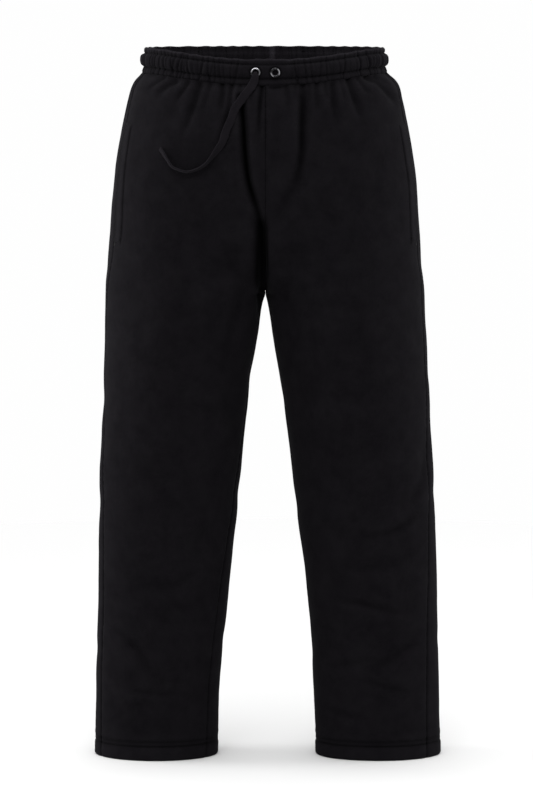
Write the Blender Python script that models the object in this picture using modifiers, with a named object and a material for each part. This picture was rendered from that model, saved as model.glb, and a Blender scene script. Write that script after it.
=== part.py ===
"""Open-hem fleece sweatpants, filled out as worn, with an elastic waistband and a flat drawcord.

Metres, +Z up. The front faces -Y and the wearer's left is at +X. The origin is the middle of the
waist at the height of the rim's sides, where the wearer holds the garment up. "Level" is the
distance below that height. Each half of the garment is one smooth surface, followed round by an
angle phi: 0 at the centre front, pi at the widest point of the side, 2 pi at the centre back. Below
the crotch the same angle goes once round the leg, starting and ending at its inner edge.
"""
import math

import bmesh
import bpy
import numpy as np
from mathutils import Matrix, Vector

NAME = "sweatpants"
SIDES = ("left", "right")       # the wearer's

# ---- cloth and seams -----------------------------------------------------------------------------
WALL = 0.0022                   # one layer of brushed fleece
SEAM_GAP = 0.0003               # between two sewn pieces
HEM_FOLD = 0.0018               # the turned-up layer adds this on the inside
HEM_LEVEL = 1.0165              # twin row of stitches that holds the turned-up layer
FOOT_LEVEL = 1.0380             # bottom edge of the legs

# ---- the general figure that the cut is made for --------------------------------------------------
# z, then the outer edge of each side, the inner edge of each leg, and the front, back and side line
SECTION_COLUMNS = ("z", "out_left", "out_right", "in_left", "in_right", "front", "back", "side")
SECTION_ROWS = (
    (0.000, 0.1716, 0.1742, 0.0000, 0.0000, -0.105, 0.105, 0.000),
    (-0.020, 0.1728, 0.1755, 0.0000, 0.0000, -0.107, 0.107, 0.000),
    (-0.036, 0.1757, 0.1780, 0.0000, 0.0000, -0.110, 0.110, 0.000),
    (-0.050, 0.1885, 0.1885, 0.0000, 0.0000, -0.117, 0.119, 0.001),
    (-0.075, 0.1970, 0.1983, 0.0000, 0.0000, -0.124, 0.129, 0.002),
    (-0.105, 0.2040, 0.2060, 0.0000, 0.0000, -0.129, 0.137, 0.004),
    (-0.150, 0.2122, 0.2143, 0.0000, 0.0000, -0.132, 0.147, 0.005),
    (-0.210, 0.2200, 0.2211, 0.0000, 0.0000, -0.133, 0.151, 0.005),
    (-0.280, 0.2252, 0.2261, 0.0000, 0.0000, -0.130, 0.142, 0.003),
    (-0.352, 0.2314, 0.2316, 0.0003, 0.0003, -0.122, 0.120, 0.000),
    (-0.366, 0.2322, 0.2320, 0.0038, 0.0048, -0.120, 0.117, 0.000),
    (-0.412, 0.2348, 0.2332, 0.0105, 0.0114, -0.113, 0.106, -0.001),
    (-0.480, 0.2382, 0.2355, 0.0208, 0.0218, -0.105, 0.093, -0.003),
    (-0.560, 0.2418, 0.2390, 0.0318, 0.0311, -0.095, 0.079, -0.005),
    (-0.690, 0.2489, 0.2434, 0.0480, 0.0432, -0.078, 0.061, -0.007),
    (-0.840, 0.2535, 0.2469, 0.0658, 0.0585, -0.066, 0.062, -0.002),
    (-0.954, 0.2566, 0.2506, 0.0722, 0.0688, -0.058, 0.061, 0.002),
    (-1.038, 0.2583, 0.2520, 0.0738, 0.0720, -0.053, 0.060, 0.004),
)
SQUARE = 0.035                  # how much squarer than an ellipse the body's sections are
CROTCH_TOP = 0.240              # level where the centre seams start to curve under
CROTCH_LEVEL = 0.352            # lowest point of the crotch seam
CROTCH_Y = -0.020               # where the four panels meet
CROTCH_BOX = 0.80               # below 1, the crotch curve is a squarer U than an ellipse
SPLIT_TOP, SPLIT_FOOT = 0.170, 0.420    # one body's section turns into two legs between these levels
SEAM_PULL, DROOP_SPREAD = 0.5, 0.9      # how far from the inner edge the crotch seam is felt, in phi
INSEAM_EASE = 0.080             # the inseam comes back under the side line over about this height
RIM_DIP = 0.0148                # the rim is lower at the centre front,
RIM_DIP_TURNS = 1.4             # and has risen again at 90 / 1.4 degrees from it
RIM_EVEN = 0.120                # the cloth below the band has lost that dip after this height

# level, then how far each seam lies forward of the leg's widest line, in degrees
SEAM_COLUMNS = ("level", "side_left", "side_right", "in_left", "in_right")
SEAM_ROWS = (
    (0.036, 30.0, 30.0, 0.0, 0.0),
    (0.240, 28.0, 32.0, 0.0, 0.0),
    (0.352, 19.0, 16.0, 0.0, 0.0),
    (0.450, 18.0, 11.0, -1.0, 6.0),
    (0.560, 20.0, 17.0, -2.0, 12.0),
    (0.690, 27.0, 22.0, -4.0, 24.0),
    (0.840, 35.0, 25.5, -5.0, 32.0),
    (1.038, 40.0, 27.0, -6.0, 35.0),
)

# ---- rows and columns of a panel ------------------------------------------------------------------
BAND_HEIGHT = 0.0360
GATHER_LEVELS = (0.0425, 0.0500, 0.0620, 0.0800)
BODY_LEVELS = (0.102, 0.128, 0.156, 0.184, 0.212)
CROTCH_ANGLES = (0.0, 20.0, 38.0, 53.0, 65.0, 76.0, 84.0, 90.0)
LEG_LEVELS = (0.358, 0.375, 0.405, 0.445, 0.498, 0.555, 0.610, 0.665, 0.725, 0.790, 0.860, 0.930, 0.985)
LEG_COLUMNS = 16
GATHERS = 11                    # on each panel, under the waistband
SHARES = 3                      # mesh columns for each gather and each rib

# ---- gathers, pocket mouths and folds -------------------------------------------------------------
GATHER_DEPTH = 0.0026
GATHER_RISE = 0.009             # the gathers are full this far below the band,
GATHER_FADE = 0.030             # and have mostly died out this much lower
MOUTH_TOP, MOUTH_FOOT = 0.105, 0.282
MOUTH_PROUD = 0.0013            # the pocket mouth's doubled edge stands out
MOUTH_WIDTH = 0.16              # of that edge, in radians of phi
FOLD_RIDGE = 0.35               # the cloth rises beside a fold by this share of its depth,
RIDGE_AWAY = 1.8                # this many half widths from its middle
FOLD_END = 0.04                 # how much of a fold's half wave is left out at each end
FOLD_POINTS = 13                # along a fold's curve

# three points in x and z that a fold follows, its half width, its depth, and -1 front or 1 back
FOLD_COLUMNS = ("x0", "z0", "x1", "z1", "x2", "z2", "half", "depth", "facing")
FOLD_ROWS = (
    (-0.032, -0.075, -0.026, -0.165, -0.008, -0.250, 0.013, 0.0060, -1),    # V down to the crotch
    (0.053, -0.055, 0.050, -0.150, 0.007, -0.250, 0.013, 0.0060, -1),
    (-0.094, -0.052, -0.103, -0.082, -0.116, -0.115, 0.012, 0.0030, -1),    # from the band
    (0.117, -0.046, 0.125, -0.070, 0.136, -0.100, 0.012, 0.0030, -1),
    (-0.050, -0.285, -0.080, -0.325, -0.120, -0.345, 0.018, 0.0035, -1),    # out from the crotch
    (0.050, -0.285, 0.080, -0.325, 0.120, -0.345, 0.018, 0.0035, -1),
    (0.150, -0.702, 0.180, -0.697, 0.220, -0.684, 0.018, 0.0040, -1),       # below the knees
    (0.105, -0.800, 0.150, -0.806, 0.195, -0.814, 0.018, 0.0038, -1),
    (0.098, -0.896, 0.140, -0.892, 0.190, -0.878, 0.018, 0.0036, -1),
    (-0.225, -0.850, -0.185, -0.875, -0.152, -0.940, 0.018, 0.0040, -1),
    (0.030, -0.300, 0.080, -0.330, 0.150, -0.325, 0.020, 0.0060, 1),        # under the seat
    (-0.030, -0.305, -0.080, -0.335, -0.150, -0.325, 0.020, 0.0060, 1),
    (0.060, -0.390, 0.110, -0.405, 0.180, -0.395, 0.018, 0.0035, 1),
    (-0.050, -0.400, -0.110, -0.410, -0.175, -0.400, 0.018, 0.0035, 1),
    (0.080, -0.655, 0.140, -0.672, 0.215, -0.655, 0.020, 0.0050, 1),        # behind the knees
    (-0.080, -0.660, -0.140, -0.675, -0.210, -0.665, 0.020, 0.0050, 1),
    (0.100, -0.860, 0.150, -0.880, 0.215, -0.870, 0.018, 0.0040, 1),
    (-0.095, -0.905, -0.150, -0.915, -0.210, -0.900, 0.018, 0.0040, 1),
)

# ---- waistband ------------------------------------------------------------------------------------
RIBS = 74
RIB_DEPTH = 0.0024
PLAIN_HALF, PLAIN_EASE = 0.019, 0.022   # the cloth is plain this far from the centre front, by the eyelets
PLAIN_OUT = 0.45                # the band puffs out this much less there
# the distance below the rim, how far the cloth stands out there, and how strong the ribs are
BAND_OUTSIDE = (
    (0.0000, 0.0000, 0.3),
    (0.0075, 0.0002, 0.4),      # upper row of stitches
    (0.0105, 0.0032, 1.0),
    (0.0170, 0.0046, 1.0),
    (0.0235, 0.0030, 1.0),
    (0.0270, 0.0006, 0.5),      # lower row of stitches
    (BAND_HEIGHT, 0.0010, 0.2),
)
BAND_INSIDE = (
    (BAND_HEIGHT, -0.0024, 0.0),
    (0.0180, -0.0020, 0.0),
    (0.0000, -0.0028, 0.0),
)

# ---- eyelets --------------------------------------------------------------------------------------
EYELET_X = 0.0138               # each side of the centre front
EYELET_DOWN = 0.0185            # below the rim
FLANGE_RADIUS, BARREL_RADIUS, HOLE_RADIUS = 0.0072, 0.0042, 0.0036
EYELET_PROUD = 0.0010           # of the cloth
EYELET_SEAT = 0.0006            # how deep the flange is pressed into the cloth
BARREL_DEPTH = 0.0028
EYELET_STEPS = 20
CUTTER_REACH = 0.006            # of a cutter, outside the cloth

# ---- pocket bags ----------------------------------------------------------------------------------
BAG_WALL = 0.0016
# the first and last level of the bag, and how many mesh columns in from the side seam it reaches
BAG_TOP, BAG_FOOT = 0.100, 0.345
BAG_LANES = (9, 9, 9, 9, 9, 9, 9, 8, 7, 6)

# ---- drawcord -------------------------------------------------------------------------------------
# a folded strip of the same cloth: its middle line, width, thickness and how far it is turned on edge
CORD_COLUMNS = ("x", "y", "z", "width", "thick", "turn")
CORD_ROWS = (
    (-0.0141, -0.1070, -0.0326, 0.0050, 0.0026, 0.0),       # inside the eyelet's hole
    (-0.0141, -0.1100, -0.0329, 0.0052, 0.0026, 0.0),
    (-0.0142, -0.1122, -0.0345, 0.0066, 0.0026, 0.0),
    (-0.0144, -0.1133, -0.0375, 0.0092, 0.0028, 0.0),
    (-0.0151, -0.1137, -0.0415, 0.0114, 0.0028, 0.0),
    (-0.0181, -0.1152, -0.0494, 0.0120, 0.0028, -2.0),
    (-0.0220, -0.1184, -0.0550, 0.0120, 0.0028, -4.0),
    (-0.0277, -0.1211, -0.0620, 0.0120, 0.0028, -6.0),
    (-0.0351, -0.1234, -0.0723, 0.0120, 0.0028, -8.0),
    (-0.0423, -0.1258, -0.0820, 0.0120, 0.0028, -12.0),
    (-0.0485, -0.1292, -0.0988, 0.0120, 0.0028, -16.0),
    (-0.0547, -0.1320, -0.1121, 0.0120, 0.0028, -20.0),
    (-0.0615, -0.1340, -0.1312, 0.0118, 0.0030, -30.0),
    (-0.0694, -0.1347, -0.1425, 0.0116, 0.0030, -48.0),
    (-0.0745, -0.1342, -0.1493, 0.0114, 0.0032, -60.0),
    (-0.0830, -0.1332, -0.1595, 0.0112, 0.0032, -74.0),     # on edge round the curl
    (-0.0966, -0.1310, -0.1680, 0.0112, 0.0032, -80.0),
    (-0.1113, -0.1281, -0.1716, 0.0112, 0.0032, -82.0),
    (-0.1227, -0.1250, -0.1690, 0.0112, 0.0032, -80.0),
    (-0.1329, -0.1214, -0.1641, 0.0114, 0.0032, -72.0),
    (-0.1386, -0.1183, -0.1557, 0.0116, 0.0030, -58.0),
    (-0.1443, -0.1138, -0.1469, 0.0118, 0.0030, -42.0),
    (-0.1489, -0.1100, -0.1402, 0.0120, 0.0028, -32.0),     # cut end
)
CORD_RINGS = 46
CORD_SIDES = 8

CLOTH_BLACK = (0.012, 0.012, 0.013)
METAL_DARK = (0.22, 0.22, 0.23)


def columns(names, rows):
    """A table's columns by name, as arrays."""
    return dict(zip(names, np.array(rows, dtype=float).T))


SECTION = columns(SECTION_COLUMNS, SECTION_ROWS)
SEAM = columns(SEAM_COLUMNS, SEAM_ROWS)
FOLD = columns(FOLD_COLUMNS, FOLD_ROWS)


# ---- the garment's smooth surface -----------------------------------------------------------------
def smooth_through(at, knots, values):
    """A smooth curve through the values at the knots, which may rise or fall."""
    order = np.argsort(knots)
    knots, values = knots[order], values[order]
    slope = np.gradient(values, knots)
    at = np.clip(at, knots[0], knots[-1])
    i = np.clip(np.searchsorted(knots, at) - 1, 0, len(knots) - 2)
    step = knots[i + 1] - knots[i]
    t = (at - knots[i]) / step
    ease = t * t * (3 - 2 * t)
    bend = t * (1 - t) * step * ((1 - t) * slope[i] - t * slope[i + 1])
    return values[i] + (values[i + 1] - values[i]) * ease + bend


def smooth_step(t):
    t = np.clip(t, 0.0, 1.0)
    return t * t * (3 - 2 * t)


def seam_angle(seam, side, level):
    """phi of the side seam, or of the inseam, of the left or right half."""
    degrees = smooth_through(np.asarray(level, float), SEAM["level"], SEAM[f"{seam}_{side}"])
    forward = np.radians(degrees)
    return math.pi - forward if seam == "side" else forward


def rim_drop(phi):
    """How far the rim hangs below the height of its sides."""
    turn = np.abs(np.angle(np.exp(0.5j * phi)))
    return RIM_DIP * np.cos(np.minimum(RIM_DIP_TURNS * turn, math.pi / 2)) ** 2


def crotch_seam(level):
    """How far back, and how far down, the centre seams have curved at this level, from 0 to 1."""
    angle = np.clip((level - CROTCH_TOP) / (CROTCH_LEVEL - CROTCH_TOP), 0.0, 1.0) * math.pi / 2
    return 1 - np.maximum(np.cos(angle), 0.0) ** CROTCH_BOX, np.sin(angle) ** CROTCH_BOX


def surface(side, phi, level):
    """Points of one half's smooth outer surface, without its folds."""
    out, inner, front, back, line = (smooth_through(-level, SECTION["z"], SECTION[name]) for name in
                                     (f"out_{side}", f"in_{side}", "front", "back", "side"))
    even, uneven = (back - front) / 2, (2 * line - front - back) / 2
    turn = phi / 2
    body_x = out * (np.sin(turn) + SQUARE * np.sin(3 * turn)) / (1 - SQUARE)
    body_reach = (np.cos(turn) - SQUARE * np.cos(3 * turn)) / (1 - SQUARE)
    body_y = line - even * body_reach - uneven * body_reach ** 2

    from_inner_edge = 2 * np.sin(turn)
    drooping = np.exp(-(from_inner_edge / DROOP_SPREAD) ** 2)
    below = np.maximum(level - CROTCH_LEVEL, 0.0)
    inseam_shift = (CROTCH_Y - line) * np.exp(-(below / INSEAM_EASE) ** 2)
    leg_x = (out + inner) / 2 - (out - inner) / 2 * np.cos(phi)
    leg_y = line - even * np.sin(phi) - uneven * np.sin(phi) ** 2 + inseam_shift * drooping

    seam_back, seam_down = crotch_seam(level)
    pulled = np.exp(-(from_inner_edge / SEAM_PULL) ** 2)
    split = smooth_step((level - SPLIT_TOP) / (SPLIT_FOOT - SPLIT_TOP))
    legs = pulled * seam_back + (1 - pulled) * split
    x = (1 - legs) * body_x + legs * leg_x
    y = (1 - legs) * body_y + legs * leg_y

    seam_level = CROTCH_TOP + (CROTCH_LEVEL - CROTCH_TOP) * seam_down
    in_crotch = (level > CROTCH_TOP) & (level < CROTCH_LEVEL)
    droop = np.where(in_crotch, seam_level - level, 0.0) * drooping
    dip = rim_drop(phi) * (1 - smooth_step((level - BAND_HEIGHT) / RIM_EVEN))
    return np.stack([x if side == "left" else -x, y, -level - droop - dip], axis=-1)


def outward(side, phi, level, turn=0.01, drop=0.001):
    """Unit normals of that surface, out of the garment."""
    round_it = surface(side, phi + turn, level) - surface(side, phi - turn, level)
    down_it = surface(side, phi, level + drop) - surface(side, phi, level - drop)
    normal = np.cross(down_it, round_it) if side == "left" else np.cross(round_it, down_it)
    return normal / np.linalg.norm(normal, axis=-1, keepdims=True)


# ---- folds and gathers ----------------------------------------------------------------------------
def fold_relief(points, normals):
    """Soft troughs, with low ridges beside them, along the curves of the fold table."""
    height = np.zeros(points.shape[:-1])
    t = np.linspace(0.0, 1.0, FOLD_POINTS)
    for x0, z0, x1, z1, x2, z2, half, depth, facing in zip(*(FOLD[name] for name in FOLD_COLUMNS)):
        curve = np.stack([(1 - t) ** 2 * a + 2 * t * (1 - t) * b + t * t * c
                          for a, b, c in ((x0, x1, x2), (z0, z1, z2))], axis=-1)
        apart = np.linalg.norm(points[..., None, ::2] - curve, axis=-1)
        nearest = apart.argmin(axis=-1)
        away = apart.min(axis=-1) / half
        along = np.sin(math.pi * (FOLD_END + (1 - 2 * FOLD_END) * t[nearest]))
        strength = depth * along * smooth_step(facing * normals[..., 1] * 2)
        height += strength * (FOLD_RIDGE * np.exp(-(away - RIDGE_AWAY) ** 2) - np.exp(-away ** 2))
    return height


def gather_relief(across, level):
    """Soft waves under the band; across runs from 0 to 1 over a panel, and they are 0 at its seams."""
    down = level - BAND_HEIGHT
    strength = smooth_step(down / GATHER_RISE + 0.2) * np.exp(-(down / GATHER_FADE) ** 2)
    uneven = 1 + 0.35 * np.sin(7.3 * across * math.pi + 1.0)
    return GATHER_DEPTH * strength * uneven * (0.5 - 0.5 * np.cos(2 * math.pi * GATHERS * across))


def mouth_relief(side, phi, level):
    """The front panel's folded edge at the pocket mouth."""
    near_seam = np.exp(-((seam_angle("side", side, level) - phi) / MOUTH_WIDTH) ** 2)
    ends = smooth_step((level - MOUTH_TOP) / 0.012) * smooth_step((MOUTH_FOOT - level) / 0.012)
    return MOUTH_PROUD * near_seam * ends


# ---- panels ---------------------------------------------------------------------------------------
def panel_rows():
    """The levels of a panel's rows, each with its number of columns."""
    crotch = [CROTCH_TOP + (CROTCH_LEVEL - CROTCH_TOP) * angle / 90 for angle in CROTCH_ANGLES]
    gathered = (BAND_HEIGHT + SEAM_GAP / 2,) + GATHER_LEVELS
    plain = BODY_LEVELS + tuple(crotch) + LEG_LEVELS + (HEM_LEVEL - 0.001, HEM_LEVEL + 0.001, FOOT_LEVEL)
    return [(level, GATHERS * SHARES) for level in gathered] + [(level, LEG_COLUMNS) for level in plain]


def panel_row(side, face, level, count):
    """Outer points, inner points and normals of one row of a front or back panel."""
    inseam, side_seam = (float(seam_angle(seam, side, level)) for seam in ("in", "side"))
    first, last = (inseam, side_seam) if face == "front" else (side_seam, inseam + 2 * math.pi)
    across = np.linspace(0.0, 1.0, count + 1)
    phi = first + (last - first) * across
    levels = np.full_like(phi, level)
    base, normals = surface(side, phi, levels), outward(side, phi, levels)
    relief = fold_relief(base, normals) + gather_relief(across, levels)
    if face == "front":
        relief += mouth_relief(side, phi, levels)
    wall = WALL + HEM_FOLD * (level > HEM_LEVEL)
    outer = base + normals * relief[:, None]
    inner = outer - normals * wall
    ends = [0, -1] if level >= CROTCH_LEVEL else [-1 if face == "front" else 0]
    for end in ends:
        along = outer[1 if end == 0 else -2] - outer[end]
        shift = along / np.linalg.norm(along) * SEAM_GAP / 2
        outer[end] += shift
        inner[end] += shift
    away = 1 if side == "left" else -1
    for points in (outer, inner):
        points[:, 0] = away * np.maximum(away * points[:, 0], SEAM_GAP / 2)
    return outer, inner, normals


def zip_rows(upper, lower):
    """Triangles between two rows of point numbers, which may be of unlike lengths."""
    faces, i, j = [], 0, 0
    while i < len(upper) - 1 or j < len(lower) - 1:
        upper_next = (i + 1) / (len(upper) - 1) if i < len(upper) - 1 else 2.0
        lower_next = (j + 1) / (len(lower) - 1) if j < len(lower) - 1 else 2.0
        if lower_next <= upper_next:
            faces.append((upper[i], lower[j], lower[j + 1]))
            j += 1
        else:
            faces.append((upper[i], lower[j], upper[i + 1]))
            i += 1
    return faces


def thick_cloth(name, outer, inner, faces, material, collection):
    """A closed solid from a sheet's outer and inner points, walled along the sheet's border."""
    border = {}
    for face in faces:
        for a, b in zip(face, face[1:] + face[:1]):
            border[frozenset((a, b))] = None if frozenset((a, b)) in border else (a, b)
    count = len(outer)
    walls = [(edge[1], edge[0], edge[0] + count, edge[1] + count) for edge in border.values() if edge]
    backs = [tuple(i + count for i in reversed(face)) for face in faces]
    used = sorted({i for face in faces for i in face})
    renumber = {old: new for new, old in enumerate(used + [i + count for i in used])}
    points = np.concatenate([outer, inner])
    mesh = bpy.data.meshes.new(name)
    mesh.from_pydata([points[i] for i in renumber], [], [tuple(renumber[i] for i in face)
                                                         for face in list(faces) + backs + walls])
    bm = bmesh.new()
    bm.from_mesh(mesh)
    bmesh.ops.recalc_face_normals(bm, faces=bm.faces)
    bm.to_mesh(mesh)
    bm.free()
    return add_object(name, mesh, material, collection)


def add_object(name, mesh, material, collection):
    mesh.materials.append(material)
    mesh.shade_smooth()
    mesh.set_sharp_from_angle(angle=math.radians(50))
    piece = bpy.data.objects.new(name, mesh)
    collection.objects.link(piece)
    return piece


def make_panel(side, face, material, collection):
    """One leg's front or back, from the waistband to the hem."""
    rows = [panel_row(side, face, level, count) for level, count in panel_rows()]
    outer, inner, normals = (np.concatenate([row[i] for row in rows]) for i in range(3))
    starts = np.cumsum([0] + [len(row[0]) for row in rows])
    numbers = [list(range(first, last)) for first, last in zip(starts, starts[1:])]
    faces = [face for upper, lower in zip(numbers, numbers[1:]) for face in zip_rows(upper, lower)]
    thick_cloth(f"{face}_{side}", outer, inner, faces, material, collection)
    return inner, normals, faces, numbers


def make_pocket_bag(side, panel, material, collection):
    """A flat bag behind the front panel, from the panel's own inner points moved further in."""
    inside, normals, faces, numbers = panel
    rows = [row for row, (level, _) in zip(numbers, panel_rows()) if BAG_TOP < level < BAG_FOOT]
    covered = {i for row, lanes in zip(rows, BAG_LANES) for i in row[-2 - lanes:-1]}
    faces = [face for face in faces if covered.issuperset(face)]
    outer = inside - normals * SEAM_GAP
    thick_cloth(f"pocket_bag_{side}", outer, outer - normals * BAG_WALL, faces, material, collection)


# ---- waistband and eyelets ------------------------------------------------------------------------
def band_point(turns, down, out, rib_share=0.0, rib=0.0):
    """A point of the band; turns runs from 0 at the centre front once round, over the wearer's left."""
    turns = turns % 1.0
    side = "left" if turns <= 0.5 else "right"
    phi = np.array(4 * math.pi * (turns if turns <= 0.5 else 1 - turns))
    level = np.array(down)
    base, normal = surface(side, phi, level), outward(side, phi, level)
    plain = smooth_step((abs(base[0]) - PLAIN_HALF) / PLAIN_EASE) if base[1] < 0 else 1.0
    puff = out * (PLAIN_OUT + (1 - PLAIN_OUT) * plain) if out > 0 else out
    wave = RIB_DEPTH * rib * plain * (rib_share - 0.5)
    return base + normal * (puff + wave), normal


def make_waistband(material, collection):
    """A doubled band, puffed out over its elastic and gathered into ribs on the outside."""
    profile = BAND_OUTSIDE + BAND_INSIDE
    ring_count = RIBS * SHARES
    points = []
    for i in range(ring_count):
        rib, share = divmod(i, SHARES)
        jitter = 0.12 * math.sin(1.9 * rib) + 0.08 * math.sin(4.1 * rib + 1.0)
        turns = (rib + share / SHARES + jitter * (1 - share / SHARES)) / RIBS
        uneven = 0.75 + 0.25 * math.sin(2.7 * rib + 0.5)
        crest = uneven if share else 0.0
        for down, out, strength in profile:
            level = min(down, BAND_HEIGHT - SEAM_GAP / 2)
            points.append(band_point(turns, level, out, crest, strength)[0])
    around = len(profile)
    faces = []
    for i in range(ring_count):
        here, there = i * around, (i + 1) % ring_count * around
        for j in range(around):
            k = (j + 1) % around
            faces.append((here + j, here + k, there + k, there + j))
    mesh = bpy.data.meshes.new("waistband")
    mesh.from_pydata(points, [], faces)
    return add_object("waistband", mesh, material, collection)


def eyelet_place(side):
    """Where an eyelet sits on the band: a matrix whose Z axis points out of the cloth."""
    turns = np.linspace(0.0, 0.1, 201)
    reach = [abs(band_point(turn, EYELET_DOWN, 0.0)[0][0]) for turn in turns]
    turn = float(np.interp(EYELET_X, reach, turns))
    out = np.interp(EYELET_DOWN, [row[0] for row in BAND_OUTSIDE], [row[1] for row in BAND_OUTSIDE])
    point, normal = band_point(turn if side == "left" else 1 - turn, EYELET_DOWN, float(out))
    turned = Vector(normal).to_track_quat("Z", "Y").to_matrix().to_4x4()
    return Matrix.Translation(Vector(point)) @ turned


def turned_object(name, profile, closed, steps):
    """A profile of radius and height, run down its outer side, turned about Z by a Screw modifier."""
    mesh = bpy.data.meshes.new(name)
    edges = [(i, i + 1) for i in range(len(profile) - 1)]
    if closed:
        edges.append((len(profile) - 1, 0))
    mesh.from_pydata([(radius, 0.0, height) for radius, height in profile], edges, [])
    piece = bpy.data.objects.new(name, mesh)
    screw = piece.modifiers.new("turn", "SCREW")
    screw.steps = screw.render_steps = steps
    screw.use_merge_vertices = True
    screw.merge_threshold = 0.00001
    screw.use_smooth_shade = True
    return piece


def make_eyelet(side, band, material, collection, cutters):
    """A rolled metal ring pressed into the band, and the cutter that makes its seat and hole."""
    place = eyelet_place(side)
    under = SEAM_GAP - EYELET_SEAT
    profile = (
        (FLANGE_RADIUS - 0.0014, EYELET_PROUD),
        (FLANGE_RADIUS - 0.0004, EYELET_PROUD * 0.7),
        (FLANGE_RADIUS, under + 0.0002),
        (FLANGE_RADIUS - 0.0003, under),
        (BARREL_RADIUS, under),
        (BARREL_RADIUS, -BARREL_DEPTH),
        (HOLE_RADIUS, -BARREL_DEPTH),
        (HOLE_RADIUS, EYELET_PROUD * 0.5),
        (HOLE_RADIUS + 0.0005, EYELET_PROUD),
    )
    ring = turned_object(f"eyelet_{side}", profile, True, EYELET_STEPS)
    ring.matrix_world = place
    ring.data.materials.append(material)
    collection.objects.link(ring)

    seat, bore = FLANGE_RADIUS + SEAM_GAP, BARREL_RADIUS + SEAM_GAP
    foot = -BARREL_DEPTH - SEAM_GAP
    outline = ((0.0, CUTTER_REACH), (seat, CUTTER_REACH), (seat, -EYELET_SEAT), (bore, -EYELET_SEAT),
               (bore, foot), (0.0, foot))
    cutter = turned_object(f"eyelet_cut_{side}", outline, False, EYELET_STEPS)
    cutter.matrix_world = place
    cutter.hide_render = True
    cutter.display_type = "WIRE"
    cutters.objects.link(cutter)
    cut = band.modifiers.new(f"eyelet_{side}", "BOOLEAN")
    cut.operation = "DIFFERENCE"
    cut.object = cutter


# ---- drawcord -------------------------------------------------------------------------------------
def make_drawcord(material, collection):
    """A flat strip lofted along its middle line, turning from its face onto its edge and back."""
    route = columns(CORD_COLUMNS, CORD_ROWS)
    middle = np.stack([route[axis] for axis in "xyz"], axis=-1)
    run = np.concatenate([[0.0], np.cumsum(np.linalg.norm(np.diff(middle, axis=0), axis=1))])
    at = np.linspace(0.0, run[-1], CORD_RINGS)
    path = np.stack([smooth_through(at, run, middle[:, i]) for i in range(3)], axis=-1)
    width, thick, turn = (smooth_through(at, run, route[name]) for name in ("width", "thick", "turn"))
    ahead = np.gradient(path, axis=0)
    ahead /= np.linalg.norm(ahead, axis=1, keepdims=True)
    bm = bmesh.new()
    rings = []
    for i in range(CORD_RINGS):
        forward = Vector(ahead[i])
        across = forward.cross(Vector((0.0, -1.0, 0.0)))
        across = (across if across.length > 0.3 else Vector((-1.0, 0.0, 0.0))).normalized()
        across = (across - forward * across.dot(forward)).normalized()
        spin = Matrix.Rotation(math.radians(turn[i]), 3, forward)
        wide, deep = spin @ across * width[i] / 2, spin @ forward.cross(across) * thick[i] / 2
        ring = []
        for j in range(CORD_SIDES):
            angle = 2 * math.pi * (j + 0.5) / CORD_SIDES
            a, b = math.cos(angle), math.sin(angle)
            ring.append(bm.verts.new(Vector(path[i]) + wide * math.copysign(abs(a) ** 0.35, a)
                                     + deep * math.copysign(abs(b) ** 0.6, b)))
        rings.append(ring)
    for lower, upper in zip(rings, rings[1:]):
        for j in range(CORD_SIDES):
            k = (j + 1) % CORD_SIDES
            bm.faces.new((lower[j], lower[k], upper[k], upper[j]))
    bm.faces.new(rings[0])
    bm.faces.new(rings[-1])
    bmesh.ops.recalc_face_normals(bm, faces=bm.faces)
    mesh = bpy.data.meshes.new("drawcord")
    bm.to_mesh(mesh)
    bm.free()
    return add_object("drawcord", mesh, material, collection)


# ---- the whole garment ----------------------------------------------------------------------------
def make_material(name, colour, roughness, metallic=0.0):
    material = bpy.data.materials.new(name)
    material.use_nodes = True
    shader = material.node_tree.nodes["Principled BSDF"]
    shader.inputs["Base Color"].default_value = (*colour, 1.0)
    shader.inputs["Roughness"].default_value = roughness
    shader.inputs["Metallic"].default_value = metallic
    return material


def main():
    for piece in list(bpy.data.objects):
        bpy.data.objects.remove(piece, do_unlink=True)
    garment, cutters = bpy.data.collections.new(NAME), bpy.data.collections.new("cutters")
    for collection in (garment, cutters):
        bpy.context.scene.collection.children.link(collection)
    fleece = make_material("black_fleece", CLOTH_BLACK, 0.95)
    for side in SIDES:
        for face in ("front", "back"):
            cloth = make_material(f"fleece_{face}_{side}", CLOTH_BLACK, 0.95)
            panel = make_panel(side, face, cloth, garment)
            if face == "front":
                jersey = make_material(f"jersey_{side}", CLOTH_BLACK, 0.9)
                make_pocket_bag(side, panel, jersey, garment)
    band = make_waistband(fleece, garment)
    for side in SIDES:
        metal = make_material(f"dark_nickel_{side}", METAL_DARK, 0.3, 1.0)
        make_eyelet(side, band, metal, garment, cutters)
    make_drawcord(make_material("cord_fleece", CLOTH_BLACK, 0.9), garment)


main()
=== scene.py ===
"""Black open-hem fleece sweatpants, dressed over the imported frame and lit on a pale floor.

Metres, +Z up, front towards -Y, the wearer's left at +X, origin at the waist. "Level" is the
distance below the rim's sides, and phi runs round each half from 0 at the centre front to 2 pi at
the centre back. The surface functions are the part's own, so every piece lies on its solid's form.
"""
import math

import bpy
import numpy as np
from mathutils import Matrix, Vector


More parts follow.
